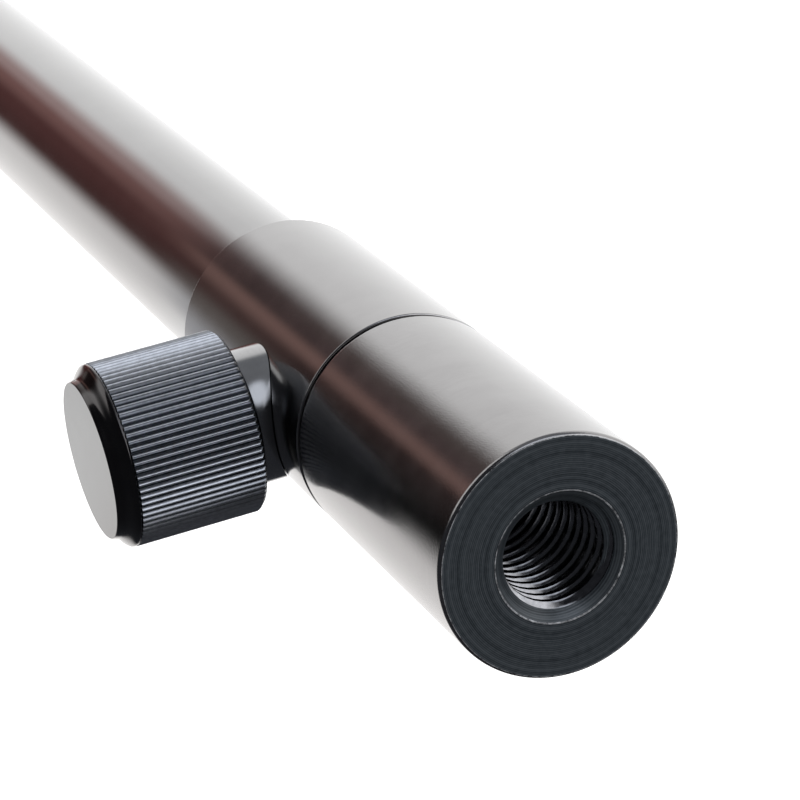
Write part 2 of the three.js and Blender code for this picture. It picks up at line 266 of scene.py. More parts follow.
def place(piece: Piece, turned: tuple[float, float, float], at: tuple[float, float, float]) -> None:
    """Turn a piece about the origin, move it, and keep both in its mesh.

    Args:
        piece: The piece to place.
        turned: Angles about X, Y and Z in degrees.
        at: Move in millimetres.
    """
    hold(piece)
    piece.rotation_euler = [math.radians(angle) for angle in turned]
    piece.location = [length * MM for length in at]
    bpy.ops.object.transform_apply(location=True, rotation=True, scale=True)


def block(name: str, size: tuple[float, float, float], at: tuple[float, float, float]) -> Piece:
    """Make a square cutter.

    Args:
        name: Its name.
        size: Its sides in millimetres.
        at: Its centre in millimetres.

    Returns:
        The cutter.
    """
    bpy.ops.object.select_all(action="DESELECT")
    bpy.ops.mesh.primitive_cube_add(size=MM, location=[length * MM for length in at])
    piece = bpy.context.object
    piece.name = name
    piece.scale = size
    bpy.ops.object.transform_apply(location=True, rotation=True, scale=True)
    return piece


def drill(name: str, radius: float, start: float, end: float, segments: int = COARSE) -> Piece:
    """Make a round cutter along Z of a radius, between two heights, in millimetres."""
    return turn(name, [(radius, start), (radius, end)], segments)


def combine(piece: Piece, other: Piece, operation: str = "DIFFERENCE") -> None:
    """Cut another solid out of a piece, or join it on, and use it up.

    Args:
        piece: The piece that stays.
        other: The cutter, or the solid to join.
        operation: The boolean operation.
    """
    machine(piece, "BOOLEAN", operation=operation, object=other, solver="EXACT")
    hold(other)
    bpy.ops.object.delete()


def break_edges(piece: Piece, edge: Edge) -> None:
    """Break every sharp edge of a piece in two small steps."""
    machine(piece, "BEVEL", width=edge.value * MM, segments=2, limit_method="ANGLE",
            angle_limit=math.radians(SHARP_FROM))


def keep_crisp(piece: Piece, wanted: Callable[[Vector], bool]) -> None:
    """Mark the edge round some faces as sharp.

    Args:
        piece: The piece.
        wanted: Says of a face's centre in metres whether it lies inside the edge.
    """
    hold(piece)
    bpy.ops.object.mode_set(mode="EDIT")
    pick(piece, wanted, faces=True)
    bpy.ops.mesh.region_to_loop()
    bpy.ops.mesh.mark_sharp()
    bpy.ops.object.mode_set(mode="OBJECT")


def polish(piece: Piece, angle: float = SMOOTH_TO) -> None:
    """Smooth a piece's shading, with flat faces left flat.

    Args:
        piece: The piece.
        angle: Largest angle in degrees between two faces that are shaded as one.
    """
    hold(piece)
    bpy.ops.object.shade_smooth_by_angle(angle=math.radians(angle))
    machine(piece, "WEIGHTED_NORMAL", keep_sharp=True, weight=50)


@dataclass(frozen=True)
class Thread:
    """One right-hand screw thread.

    Attributes:
        major: Major diameter in millimetres.
        depth: Height of the thread.
        pitch: Rise in one turn.
        crest: Width of the flat at the major radius, as a share of the pitch.
        root: Width of the flat at the minor radius, as a share of the pitch.
        columns: Vertices round its cross-section.
        steps: Steps in one turn.
    """

    major: float
    depth: float
    pitch: float
    crest: float = 0.14
    root: float = 0.2
    columns: int = 28
    steps: int = 40

    def radius(self, number: int) -> float:
        """Give the radius of one vertex of the cross-section, with rounded crest and root.

        Args:
            number: The vertex's number, counted round from +X.

        Returns:
            Its radius in millimetres.
        """
        flank = (1 - self.crest - self.root) / 2
        share = (abs(number / self.columns - 0.5) - self.crest / 2) / flank
        share = min(1.0, max(0.0, share))
        eased = share * share * (3 - 2 * share)
        return self.major / 2 - self.depth * (share + eased) / 2

    def column(self, name: str, start: float, turns: int) -> Piece:
        """Draw the cross-section upwards while it turns, so that its vertices follow the helix.

        Args:
            name: The column's name.
            start: Height of its lower end in millimetres.
            turns: Number of turns.

        Returns:
            The closed column.
        """
        outer = self.major / 2
        piece = first_ring(name, (outer, start), self.columns)
        for number in range(self.columns):
            pick(piece, lambda at: numbered(at, self.columns) == number)
            share = self.radius(number) / outer
            bpy.ops.transform.resize(value=(share, share, 1), center_override=(0, 0, start * MM))
        bpy.ops.mesh.select_all(action="SELECT")
        for _ in range(self.steps):
            bpy.ops.mesh.extrude_region_move(
                TRANSFORM_OT_translate={"value": (0, 0, self.pitch / self.steps * MM)})
            bpy.ops.transform.rotate(value=-2 * math.pi / self.steps, orient_axis="Z",
                                     center_override=(0, 0, 0))
        bpy.ops.object.mode_set(mode="OBJECT")
        machine(piece, "ARRAY", count=turns, use_relative_offset=False, use_constant_offset=True,
                constant_offset_displace=(0, 0, self.pitch * MM), use_merge_vertices=True,
                merge_threshold=WELD)
        bpy.ops.object.mode_set(mode="EDIT")
        close_up()
        return piece


# --------------------------------------------------------------------------------------------------- finishes


class Lay(Enum):
    """Which way the marks of making run over a surface."""

    DRAWN = "fine streaks along the axis"
    TURNED = "rings round the axis, one above the other"
    FACED = "rings round the axis, one inside the other"
    MOULDED = "no direction"


class Axis(Enum):
    """The axis that a piece was turned on."""

    STICK = "the stick's own"
    CLAMP = "the thumb screw's"


class Board:
    """A node tree with short ways to add and join nodes."""

    def __init__(self, tree: bpy.types.NodeTree) -> None:
        """Start with an empty tree."""
        self.tree = tree
        tree.nodes.clear()

    def add(self, kind: str, inputs: dict[str, Any] | None = None, **settings: Any) -> bpy.types.Node:
        """Add a node.

        Args:
            kind: The node's type.
            inputs: Values, or sockets to join, by the name or number of the input.
            **settings: The node's own settings.

        Returns:
            The node.
        """
        node = self.tree.nodes.new(kind)
        for name, value in settings.items():
            setattr(node, name, value)
        for name, value in (inputs or {}).items():
            if isinstance(value, Socket):
                self.tree.links.new(value, node.inputs[name])
            else:
                node.inputs[name].default_value = value
        return node

    def maths(self, operation: str, first: Any, second: Any = 0.0, clamp: bool = False) -> Socket:
        """Add a sum of two values or sockets and return its result."""
        return self.add("ShaderNodeMath", {0: first, 1: second}, operation=operation,
                        use_clamp=clamp).outputs[0]

    def spread(self, value: Any, start: Point = (0.0, 1.0), end: tuple[Any, Any] = (0.0, 1.0),
               **settings: Any) -> Socket:
        """Carry a value over from one range to another.

        Args:
            value: The value's socket.
            start: The range that it comes from.
            end: The range that it goes to, as values or sockets.
            **settings: The node's own settings.

        Returns:
            The new value.
        """
        return self.add("ShaderNodeMapRange", {"Value": value, "From Min": start[0], "From Max": start[1],
                                               "To Min": end[0], "To Max": end[1]}, **settings).outputs[0]

    def ramp(self, share: Socket, stops: Stops) -> Socket:
        """Add a colour ramp that eases from stop to stop.

        Args:
            share: The socket that runs along the ramp.
            stops: Places and colours, in order.

        Returns:
            The ramp's colour.
        """
        node = self.add("ShaderNodeValToRGB", {0: share})
        node.color_ramp.interpolation = "EASE"
        elements = node.color_ramp.elements
        while len(elements) < len(stops):
            elements.new(1.0)
        for element, (at, colour) in zip(elements, stops):
            element.position = at
            element.color = (*colour, 1)
        return node.outputs["Color"]

    def blend(self, share: Any, first: Any, second: Any) -> Socket:
        """Mix two colours.

        Args:
            share: Share of the second colour, as a value or a socket.
            first: The first colour or its socket.
            second: The second colour or its socket.

        Returns:
            The mixed colour.
        """
        node = self.add("ShaderNodeMix", data_type="RGBA")
        for index, value in ((0, share), (6, first), (7, second)):
            if isinstance(value, Socket):
                self.tree.links.new(value, node.inputs[index])
            else:
                node.inputs[index].default_value = (*value, 1) if isinstance(value, tuple) else value
        return node.outputs[2]


@dataclass(frozen=True)
class Finish:
    """A surface with its colour, gloss and marks of making.

    Attributes:
        DRAWN_STRETCH: How much longer drawn marks are along each axis.
        TURNED_STRETCH: How much longer turned marks are along each axis.
        FACED_SWELL: Swells of a faced surface in one ring of it.
        FACED_WAVE: Height of a faced surface's even rings beside its swells.
        name: The finish's name.
        dark: Colour in the dark of the mottling.
        light: Colour in the light of the mottling.
        roughness: Roughness in the dark and in the light of the mottling.
        metallic: 1 for metal, 0 for plastic and rubber.
        coat: Strength of the clear skin.
        coat_ior: Its refractive index.
        coat_roughness: Its roughness.
        mottle: Size of the mottling in millimetres.
        lay: Which way the marks run.
        axis: The axis that they run along or round.
        lay_pitch: Distance between the marks in millimetres.
        lay_depth: Their depth in millimetres.
        lay_tone: How far they tint the colour, from 0 to 1.
        grain: Size of the fine grain in millimetres.
        grain_depth: Its depth in millimetres.
        worn_highlight: Colour of the painted highlight and wear on edges that stand further out than
            worn_highlight_from, if any.
        worn_highlight_from: Distance from the axis in millimetres at which the painted highlight and wear
            start.
        worn_highlight_full: Distance from the axis in millimetres at which they are full.
        worn_highlight_roughness: Roughness of the edges with the painted highlight and wear.
        least_worn_highlight: Share of the painted highlight and wear where the mottling takes most away.
    """

    DRAWN_STRETCH: ClassVar[tuple[float, float, float]] = (1, 1, 80)
    TURNED_STRETCH: ClassVar[tuple[float, float, float]] = (60, 60, 1)
    FACED_SWELL: ClassVar[float] = 0.4
    FACED_WAVE: ClassVar[float] = 0.2

    name: str
    dark: Colour
    light: Colour
    roughness: Point
    metallic: float = 1.0
    coat: float = 0.0
    coat_ior: float = 1.5
    coat_roughness: float = 0.03
    mottle: float = 3.0
    lay: Lay = Lay.MOULDED
    axis: Axis = Axis.STICK
    lay_pitch: float = 0.25
    lay_depth: float = 0.0
    lay_tone: float = 0.3
    grain: float = 0.12
    grain_depth: float = 0.0
    worn_highlight: Colour | None = None
    worn_highlight_from: float = 0.0
    worn_highlight_full: float = 1.0
    worn_highlight_roughness: float = 0.3
    least_worn_highlight: float = 0.75

    def material(self) -> bpy.types.Material:
        """Return the finish's material, made on first use."""
        made = bpy.data.materials.get(self.name)
        return made if made else self.build()

    def build(self) -> bpy.types.Material:
        """Build the material.

        Returns:
            The new material.
        """
        material = bpy.data.materials.new(self.name)
        material.use_nodes = True
        board = Board(material.node_tree)
        where = self.where(board)
        mottling = self.noise(board, where, self.mottle, detail=3)
        marks = self.marks(board, where)
        shade = board.add("ShaderNodeMix", {0: self.lay_tone, 2: mottling, 3: marks}).outputs[0]
        colour = board.blend(board.spread(shade, BLOTS), self.dark, self.light)
        roughness = board.spread(mottling, BLOTS, self.roughness)
        # Lighter outer edges: a painted highlight, partly wear.
        if self.worn_highlight:
            worn_highlight_share = self.worn_highlight_share(board, where, mottling)
            colour = board.blend(worn_highlight_share, colour, self.worn_highlight)
            roughness = board.spread(worn_highlight_share, end=(roughness, self.worn_highlight_roughness))
        shader = board.add("ShaderNodeBsdfPrincipled", {
            "Base Color": colour, "Roughness": roughness, "Metallic": self.metallic,
            "Coat Weight": self.coat, "Coat IOR": self.coat_ior, "Coat Roughness": self.coat_roughness})
        relief = self.relief(board, where, marks)
        board.tree.links.new(relief, shader.inputs["Normal"])
        board.tree.links.new(relief, shader.inputs["Coat Normal"])
        board.add("ShaderNodeOutputMaterial", {"Surface": shader.outputs[0]})
        return material

    def where(self, board: Board) -> Socket:
        """Give the place on the piece, with Z along the axis that it was turned on.

        Args:
            board: The material's board.

        Returns:
            The place in millimetres.
        """
        at = board.add("ShaderNodeTexCoord").outputs["Object"]
        if self.axis is Axis.CLAMP:
            at = board.add("ShaderNodeMapping", {"Vector": at, "Rotation": (0, math.pi / 2, 0),
                                                 "Location": (-Clamp.height * MM, 0, 0)}).outputs[0]
        return board.add("ShaderNodeVectorMath", {0: at, "Scale": 1 / MM}, operation="SCALE").outputs[0]

    def noise(self, board: Board, where: Socket, size: float,
              stretch: tuple[float, float, float] = (1, 1, 1), detail: float = 2) -> Socket:
        """Add noise of a size in millimetres.

        Args:
            board: The material's board.
            where: The place in millimetres.
            size: Size of its blots.
            stretch: How much longer they are along each axis.
            detail: Its octaves.

        Returns:
            The noise from 0 to 1.
        """
        scale = tuple(1 / (size * share) for share in stretch)
        at = board.add("ShaderNodeMapping", {"Vector": where, "Scale": scale}).outputs[0]
        return board.add("ShaderNodeTexNoise", {"Vector": at, "Scale": 1.0, "Detail": detail}).outputs[0]

    def radius(self, board: Board, where: Socket) -> Socket:
        """Give the distance from the axis in millimetres."""
        flat = board.add("ShaderNodeVectorMath", {0: where, 1: (1, 1, 0)}, operation="MULTIPLY").outputs[0]
        return board.add("ShaderNodeVectorMath", {0: flat}, operation="LENGTH").outputs["Value"]

    def worn_highlight_share(self, board: Board, where: Socket, mottling: Socket) -> Socket:
        """Give the share of the painted highlight and wear, which grows with the distance from the axis and is
        broken up a little.

        Args:
            board: The material's board.
            where: The place in millimetres.
            mottling: The noise that breaks it up.

        Returns:
            The share from 0 to 1.
        """
        out = board.spread(self.radius(board, where), (self.worn_highlight_from, self.worn_highlight_full))
        uneven = board.spread(mottling, BLOTS, (self.least_worn_highlight, 1.0))
        return board.maths("MULTIPLY", out, uneven, clamp=True)

    def marks(self, board: Board, where: Socket) -> Socket:
        """Add the marks of making.

        Args:
            board: The material's board.
            where: The place in millimetres.

        Returns:
            Their height from 0 to 1.
        """
        if self.lay is Lay.DRAWN:
            return self.noise(board, where, self.lay_pitch, self.DRAWN_STRETCH)
        if self.lay is Lay.TURNED:
            return self.noise(board, where, self.lay_pitch, self.TURNED_STRETCH)
        if self.lay is Lay.FACED:
            rings = board.maths("DIVIDE", self.radius(board, where), self.lay_pitch)
            swell = board.add("ShaderNodeTexNoise", {"W": rings, "Scale": self.FACED_SWELL, "Detail": 2.0},
                              noise_dimensions="1D").outputs[0]
            wave = board.maths("SINE", board.maths("MULTIPLY", rings, 2 * math.pi))
            return board.maths("ADD", board.maths("MULTIPLY", wave, self.FACED_WAVE), swell)
        return self.noise(board, where, self.mottle)

    def relief(self, board: Board, where: Socket, marks: Socket) -> Socket:
        """Add the marks of making and the grain as two bumps, one on the other.

        Args:
            board: The material's board.
            where: The place in millimetres.
            marks: Height of the marks from 0 to 1.

        Returns:
            The normal.
        """
        lay = board.add("ShaderNodeBump", {"Height": marks, "Distance": self.lay_depth * MM}).outputs[0]
        grain = self.noise(board, where, self.grain)
        return board.add("ShaderNodeBump", {"Height": grain, "Distance": self.grain_depth * MM,
                                            "Normal": lay}).outputs[0]


GLOSS_TUBE = Finish("gloss_anodised_tube", dark=(0.23, 0.225, 0.225), light=(0.27, 0.265, 0.265),
                    roughness=(0.13, 0.17), coat=1.0, coat_ior=1.7, coat_roughness=0.06, mottle=6,
                    lay=Lay.DRAWN, lay_pitch=0.35, lay_depth=0.0006, grain_depth=0.0003)
GLOSS_TURNED = Finish("gloss_anodised_turned", dark=(0.27, 0.262, 0.262), light=(0.32, 0.312, 0.312),
                      roughness=(0.15, 0.2), coat=1.0, coat_ior=1.7, coat_roughness=0.07, mottle=4,
                      lay=Lay.TURNED, lay_pitch=0.2, lay_depth=0.0006, grain_depth=0.0012)
GLOSS_HEAD = Finish("gloss_anodised_head", dark=(0.26, 0.252, 0.252), light=(0.32, 0.312, 0.312),
                    roughness=(0.16, 0.22), coat=1.0, coat_ior=1.7, coat_roughness=0.07, mottle=3,
                    lay=Lay.TURNED, lay_pitch=0.2, lay_depth=0.0006, grain=0.16, grain_depth=0.007)
MATT_FACE = Finish("matt_anodised_face", dark=(0.014, 0.018, 0.022), light=(0.05, 0.058, 0.066),
                   roughness=(0.32, 0.42), metallic=0.6, coat=0.3, coat_ior=1.6, coat_roughness=0.25,
                   mottle=0.5, lay=Lay.FACED, lay_pitch=0.15, lay_depth=0.005, lay_tone=0.7, grain=0.14,
                   grain_depth=0.004)
CUT_THREAD = Finish("cut_thread", dark=(0.16, 0.16, 0.168), light=(0.32, 0.32, 0.333),
                    roughness=(0.1, 0.18), coat=0.7, coat_ior=1.7, coat_roughness=0.06, mottle=0.5,
                    lay=Lay.TURNED, lay_pitch=0.12, lay_depth=0.001, grain_depth=0.001)
# Light, broken-up edge colour: a painted glint on the face's broken edges, partly worn bare metal.
WORN_GLINT_EDGE = Finish("worn_glint_edge", dark=(0.03, 0.032, 0.036), light=(0.38, 0.39, 0.41), roughness=(0.3, 0.4),
                   metallic=0.7, mottle=0.35)
# Its light crest colour is a painted highlight on the knurl's ridges, partly wear; the valleys keep the plain
# dark colour.
SATIN_KNURL = Finish("satin_anodised_knurl", dark=(0.03, 0.034, 0.042), light=(0.06, 0.066, 0.078),
                     roughness=(0.35, 0.45), mottle=0.5, lay=Lay.DRAWN, axis=Axis.CLAMP, lay_pitch=0.06,
                     lay_depth=0.001, grain=0.1, grain_depth=0.001, worn_highlight=(0.69, 0.705, 0.74), worn_highlight_from=7.84,
                     worn_highlight_full=7.98, worn_highlight_roughness=0.28)
POLISHED_BAND = Finish("polished_band", dark=(0.045, 0.04, 0.04), light=(0.06, 0.055, 0.055),
                       roughness=(0.14, 0.2), coat=1.0, coat_ior=1.5, coat_roughness=0.05, mottle=2,
                       lay=Lay.TURNED, axis=Axis.CLAMP, lay_pitch=0.15, lay_depth=0.0005, grain_depth=0.0005)
TURNED_DISC = Finish("turned_disc", dark=(0.04, 0.04, 0.038), light=(0.06, 0.06, 0.057),
                     roughness=(0.16, 0.2), coat=0.5, coat_ior=1.5, coat_roughness=0.1, mottle=3,
                     lay=Lay.FACED, axis=Axis.CLAMP, lay_pitch=0.2, lay_depth=0.0006, grain_depth=0.0004)
GLOSS_BOSS = Finish("gloss_anodised_boss", dark=(0.32, 0.32, 0.325), light=(0.38, 0.38, 0.385),
                    roughness=(0.14, 0.18), coat=1.0, coat_ior=1.6, coat_roughness=0.08, mottle=2,
                    lay=Lay.TURNED, axis=Axis.CLAMP, lay_pitch=0.15, lay_depth=0.001, grain_depth=0.001)
BRIGHT_STEEL = Finish("bright_steel", dark=(0.5, 0.51, 0.53), light=(0.62, 0.63, 0.65),
                      roughness=(0.22, 0.34), mottle=1.5, lay=Lay.TURNED, lay_pitch=0.1, lay_depth=0.001,
                      grain_depth=0.0008)
BARE_ALUMINIUM = Finish("bare_aluminium", dark=(0.64, 0.65, 0.66), light=(0.74, 0.75, 0.76),
                        roughness=(0.28, 0.4), mottle=2, lay=Lay.TURNED, lay_pitch=0.15, lay_depth=0.002,
                        grain_depth=0.001)
WHITE_NYLON = Finish("white_nylon", dark=(0.78, 0.76, 0.69), light=(0.86, 0.84, 0.78), roughness=(0.45, 0.6),
                     metallic=0.0, mottle=1.5, lay=Lay.TURNED, lay_pitch=0.2, lay_depth=0.004, grain=0.2,
                     grain_depth=0.003)
BLACK_NYLON = Finish("black_nylon", dark=(0.018, 0.018, 0.02), light=(0.034, 0.034, 0.037),
                     roughness=(0.45, 0.6), metallic=0.0, mottle=1, lay=Lay.TURNED, lay_pitch=0.2,
                     lay_depth=0.004, grain=0.2, grain_depth=0.003)
BLACK_RUBBER = Finish("black_rubber", dark=(0.016, 0.016, 0.016), light=(0.03, 0.03, 0.03),
                      roughness=(0.7, 0.85), metallic=0.0, mottle=0.6, grain=0.15, grain_depth=0.006)


def dress(piece: Piece, body: str, finishes: list[Finish]) -> None:
    """Finish a piece and set it on its body in place of its solid.

    Args:
        piece: The piece, named for its solid with the ending _turned.
        body: The body that it rides on.
        finishes: Its finishes; all faces take the first until an area is given another.
    """
    piece.data.materials.clear()
    for finish in finishes:
        piece.data.materials.append(finish.material())
    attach(piece, body)
    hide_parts(piece.name.removesuffix("_turned"))
    log.info("%s: %d faces", piece.name, len(piece.data.polygons))


def give_area(piece: Piece, finish: Finish, wanted: Callable[[Vector], bool]) -> None:
    """Give the faces at some places another of the piece's finishes.

    Args:
        piece: A dressed piece.
        finish: The finish, one of those that it was dressed in.
        wanted: Says of a face's centre in metres whether it takes the finish.
    """
    hold(piece)
    bpy.ops.object.mode_set(mode="EDIT")
    pick(piece, wanted, faces=True)
    piece.active_material_index = [material.name for material in piece.data.materials].index(finish.name)
    bpy.ops.object.material_slot_assign()
    bpy.ops.object.mode_set(mode="OBJECT")


# ------------------------------------------------------------------------------------------------- the pieces


@dataclass
class Spike:
    """The turned point and the pin that holds it in the tube.

    Lengths, radii and heights are in millimetres and angles in degrees, here and in the classes of all other
    pieces. Heights are up the stick from the tip of the spike, and the clamp's are out from the stick's axis.
    """

    radius: float = 7.95
    nose_radius: float = 1.0
    nose_start: float = -88.0
    nose_steps: int = 12
    cone_length: float = 34.0
    shoulder: float = 42.0
    shoulder_chamfer: float = 0.4
    spigot_radius: float = 6.9
    spigot_top: float = 58.0
    spigot_chamfer: float = 0.8
    pin_height: float = 50.0
    pin_radius: float = 1.5
    pin_bore: float = 1.0
    pin_half_length: float = 7.65
    pin_chamfer: float = 0.15
    pin_slot: float = 0.8
    pin_clearance: float = 0.06

    def point(self) -> Piece:
        """Turn the point, with its spigot cross-drilled for the pin.

        Returns:
            The point, whose cone runs on from its rounded nose without a corner.
        """
        rise = self.cone_length - self.nose_radius
        tangent = math.degrees(math.atan2(rise, self.radius)
                               - math.acos(self.nose_radius / math.hypot(self.radius, rise)))
        nose = arc((0, self.nose_radius), self.nose_radius, self.nose_radius, self.nose_start, tangent,
                   self.nose_steps)
        piece = turn("ground_spike_turned", nose + [
            (self.radius, self.cone_length),
            (self.radius, self.shoulder - self.shoulder_chamfer),
            (self.radius - self.shoulder_chamfer, self.shoulder),
            (self.spigot_radius, self.shoulder),
            (self.spigot_radius, self.spigot_top - self.spigot_chamfer),
            (self.spigot_radius - self.spigot_chamfer, self.spigot_top),
        ])
        break_edges(piece, Edge.FILED)
        combine(piece, self.pin_drill())
        polish(piece)
        return piece

    def pin_drill(self) -> Piece:
        """Make the cutter of the pin's hole through spigot and tube.

        Returns:
            The cutter, across the stick.
        """
        reach = self.radius + OVERRUN
        cutter = drill("pin_drill", self.pin_radius + self.pin_clearance, -reach, reach)
        place(cutter, (90, 0, 0), (0, 0, self.pin_height))
        return cutter

    def pin(self) -> Piece:
        """Roll the spring pin.

        Returns:
            The pin, across the stick, with its slot up the stick.
        """
        length = 2 * self.pin_half_length
        piece = turn("spike_pin_turned", sleeve(self.pin_bore, self.pin_radius, 0, length, self.pin_chamfer,
                                                broken_bore=False), COARSE)
        combine(piece, block("slot", (2 * self.pin_radius, self.pin_slot, length + 2 * OVERRUN),
                             (self.pin_radius, 0, length / 2)))
        break_edges(piece, Edge.CRISP)
        polish(piece)
        place(piece, (90, 0, 0), (0, self.pin_half_length, self.pin_height))
        return piece

    def build(self) -> None:
        """Build and dress both pieces."""
        dress(self.point(), "outer", [GLOSS_TURNED])
        dress(self.pin(), "outer", [BRIGHT_STEEL])


@dataclass
class Clamp:
    """Boss, pad, stud and knob, built out along Z from the stick's axis and then turned to point along -X.

    Only the clamp's own height, the first field, is up the stick.
    """

    height: float = 262.0
    collar_radius: float = 10.0
    seat_gap: float = 0.06
    boss_radius: float = 6.0
    boss_spigot: float = 4.5
    boss_inner: float = 8.25
    boss_outer: float = 11.35
    boss_edge: float = 0.25
    saddle_reach: float = 12.0
    spigot_depth: float = 0.4  # how far under the boss's face the spigot's own cylinder starts
    bore: float = 3.3
    bore_bottom: float = 7.0
    bore_mouth: float = 0.5
    mouth_overrun: float = 0.2
    pad_radius: float = 3.0
    pad_inner: float = 6.3
    pad_outer: float = 8.9
    pad_chamfer: float = 0.4
    nose_hole: float = 1.8
    nose_floor: float = 7.3
    stud_tip: float = 9.2
    stud_nose: float = 7.6
    nose_radius: float = 1.5
    nose_chamfer: float = 0.2
    stud_top: float = 19.35
    stud_root: float = 2.4
    stud_core: float = 2.3
    stud_chamfer: float = 0.3
    stud_thread_start: float = 0.6
    stud_thread_turns: int = 6
    stud_thread_top: float = 16.25
    knob_rear: float = 11.65
    knob_hole_top: float = 19.65
    knob_hole_edge: float = 0.4
    knob_smooth_to: float = 46.0
    crest: float = 8.13
    valley: float = 7.81
    rear_radius: float = 7.78
    knurl_top: float = 22.9
    groove_radius: float = 7.73
    groove_top: float = 23.02
    band_radius: float = 8.1
    band_edge: float = 0.04
    band_edge_bottom: float = 0.02
    band_edge_top: float = 0.06
    ogee_bottom: float = 23.15
    ogee_top: float = 24.42
    ogee_root: float = 7.05
    ogee_steps: int = 14
    disc_radius: float = 6.95
    disc_edge: float = 0.1
    disc_steps: int = 3
    front: float = 24.85
    flutes: int = 80
    flute_points: int = 12
    flute_step: float = 0.02
    flute_lift: float = 0.5  # more than any vertex of the first fluted ring is lifted by
    flute_short: float = 1.0  # how far short of their top the flutes are drawn before that ring is levelled
    thread: Thread = field(default_factory=lambda: Thread(6, 0.6, 1, columns=16, steps=24))

    def swing(self, piece: Piece) -> Piece:
        """Turn a piece built along Z so that it points along -X at the clamp's height."""
        place(piece, (0, -90, 0), (0, 0, self.height))
        return piece

    def boss(self) -> Piece:
        """Turn the boss.

        Returns:
            The boss, with a saddle seat on the collar and a spigot through its wall.
        """
        piece = turn("clamp_boss_turned", [
            (self.boss_radius, self.collar_radius / 2),
            (self.boss_radius, self.boss_outer - self.boss_edge),
            (self.boss_radius - self.boss_edge, self.boss_outer)])
        reach = self.saddle_reach
        saddle = drill("saddle", self.collar_radius + self.seat_gap, -reach, reach, FINE)
        place(saddle, (0, 90, 0), (0, 0, 0))
        combine(piece, saddle)
        break_edges(piece, Edge.FILED)
        spigot = drill("spigot", self.boss_spigot, self.boss_inner, self.boss_outer - self.spigot_depth)
        combine(piece, spigot, "UNION")
        mouth = self.bore_mouth + self.mouth_overrun
        combine(piece, turn("bore", [
            (self.bore, self.bore_bottom),
            (self.bore, self.boss_outer - self.bore_mouth),
            (self.bore + mouth, self.boss_outer + self.mouth_overrun)], COARSE))
        polish(piece)
        return self.swing(piece)

    def pad(self) -> Piece:
        """Turn the nylon shoe.

        Returns:
            The shoe, with the hole that the stud's nose sits in.
        """
        piece = turn("clamp_pad_turned", [
            (self.pad_radius - self.pad_chamfer, self.pad_inner),
            (self.pad_radius, self.pad_inner + self.pad_chamfer),
            (self.pad_radius, self.pad_outer),
            (self.nose_hole, self.pad_outer),
            (self.nose_hole, self.nose_floor)], COARSE)
        break_edges(piece, Edge.WIPED)
        polish(piece)
        return self.swing(piece)

    def stud(self) -> Piece:
        """Turn the stud and cut its thread.

        Returns:
            The stud, with a plain end for the knob and a nose for the shoe.
        """
        major, chamfer = self.thread.major / 2, self.stud_chamfer
        piece = turn("thumb_screw_turned", [
            (self.nose_radius - self.nose_chamfer, self.stud_nose),
            (self.nose_radius, self.stud_nose + self.nose_chamfer),
            (self.nose_radius, self.stud_tip),
            (self.stud_root - chamfer, self.stud_tip),
            (self.stud_core, self.stud_tip + chamfer),
            (self.stud_core, self.stud_thread_top),
            (major, self.stud_thread_top + self.thread.depth),
            (major, self.stud_top - chamfer),
            (major - chamfer, self.stud_top)], COARSE)
        thread = self.thread.column("stud_thread", self.stud_tip + self.stud_thread_start,
                                    self.stud_thread_turns)
        combine(piece, thread, "UNION")
        polish(piece)
        return self.swing(piece)

    def knob(self) -> Piece:
        """Turn the knob in one unbroken set of rings, with a straight knurl.

        Returns:
            The knob, with knurl, ogee band and flat disc.
        """
        start = (self.bore, self.knob_hole_top)
        piece = first_ring("thumb_knob_turned", start, self.flutes * self.flute_points)
        at = draw(start, [
            (self.bore, self.knob_rear + self.knob_hole_edge),
            (self.bore + self.knob_hole_edge, self.knob_rear),
            (self.rear_radius, self.knob_rear)])
        self.flute(piece, at)
        rim = arc((self.disc_radius - self.disc_edge, self.front - self.disc_edge), self.disc_edge,
                  self.disc_edge, 0, 90, self.disc_steps)
        draw((self.groove_radius, self.knurl_top), [
            (self.groove_radius, self.groove_top),
            (self.band_radius - self.band_edge, self.groove_top + self.band_edge_bottom),
            (self.band_radius, self.groove_top + self.band_edge_top)] + self.ogee() + rim)
        close_up()
        polish(piece, self.knob_smooth_to)
        return self.swing(piece)

    def ogee(self) -> Outline:
        """Give the curve of the band, which bends out and then in towards the disc.

        Returns:
            Its points, both ends included.
        """
        middle, swing = (self.band_radius + self.ogee_root) / 2, (self.band_radius - self.ogee_root) / 2
        rise, steps = self.ogee_top - self.ogee_bottom, self.ogee_steps
        return [(middle + swing * math.cos(math.pi * i / steps), self.ogee_bottom + rise * i / steps)
                for i in range(steps + 1)]

    def flute(self, piece: Piece, at: Point) -> None:
        """Draw the fluted rings from the knob's round rear edge to the round root of its groove.

        Args:
            piece: The knob in edit mode, with its rear ring selected.
            at: Radius and height of that ring.
        """
        points, step = self.flute_points, self.flute_step
        middle, swing = (self.crest + self.valley) / 2, (self.crest - self.valley) / 2
        radii = [middle + swing * math.cos(2 * math.pi * number / points) for number in range(points)]

        def each(level: float, was: list[float], now: list[float], lifted: list[float]) -> None:
            """Resize and lift each set of like vertices in the ring at a height.

            Args:
                level: The ring's height.
                was: Radius of each set.
                now: New radius of each set.
                lifted: Lift of each set.
            """
            for number in range(points):
                pick(piece, lambda p: abs(p.z - level * MM) < WELD
                     and numbered(p, self.flutes * points) % points == number
                     and abs(p.xy.length - was[number] * MM) < NEAR)
                share = now[number] / was[number]
                bpy.ops.transform.resize(value=(share, share, 1), center_override=(0, 0, level * MM))
                bpy.ops.transform.translate(value=(0, 0, lifted[number] * MM))

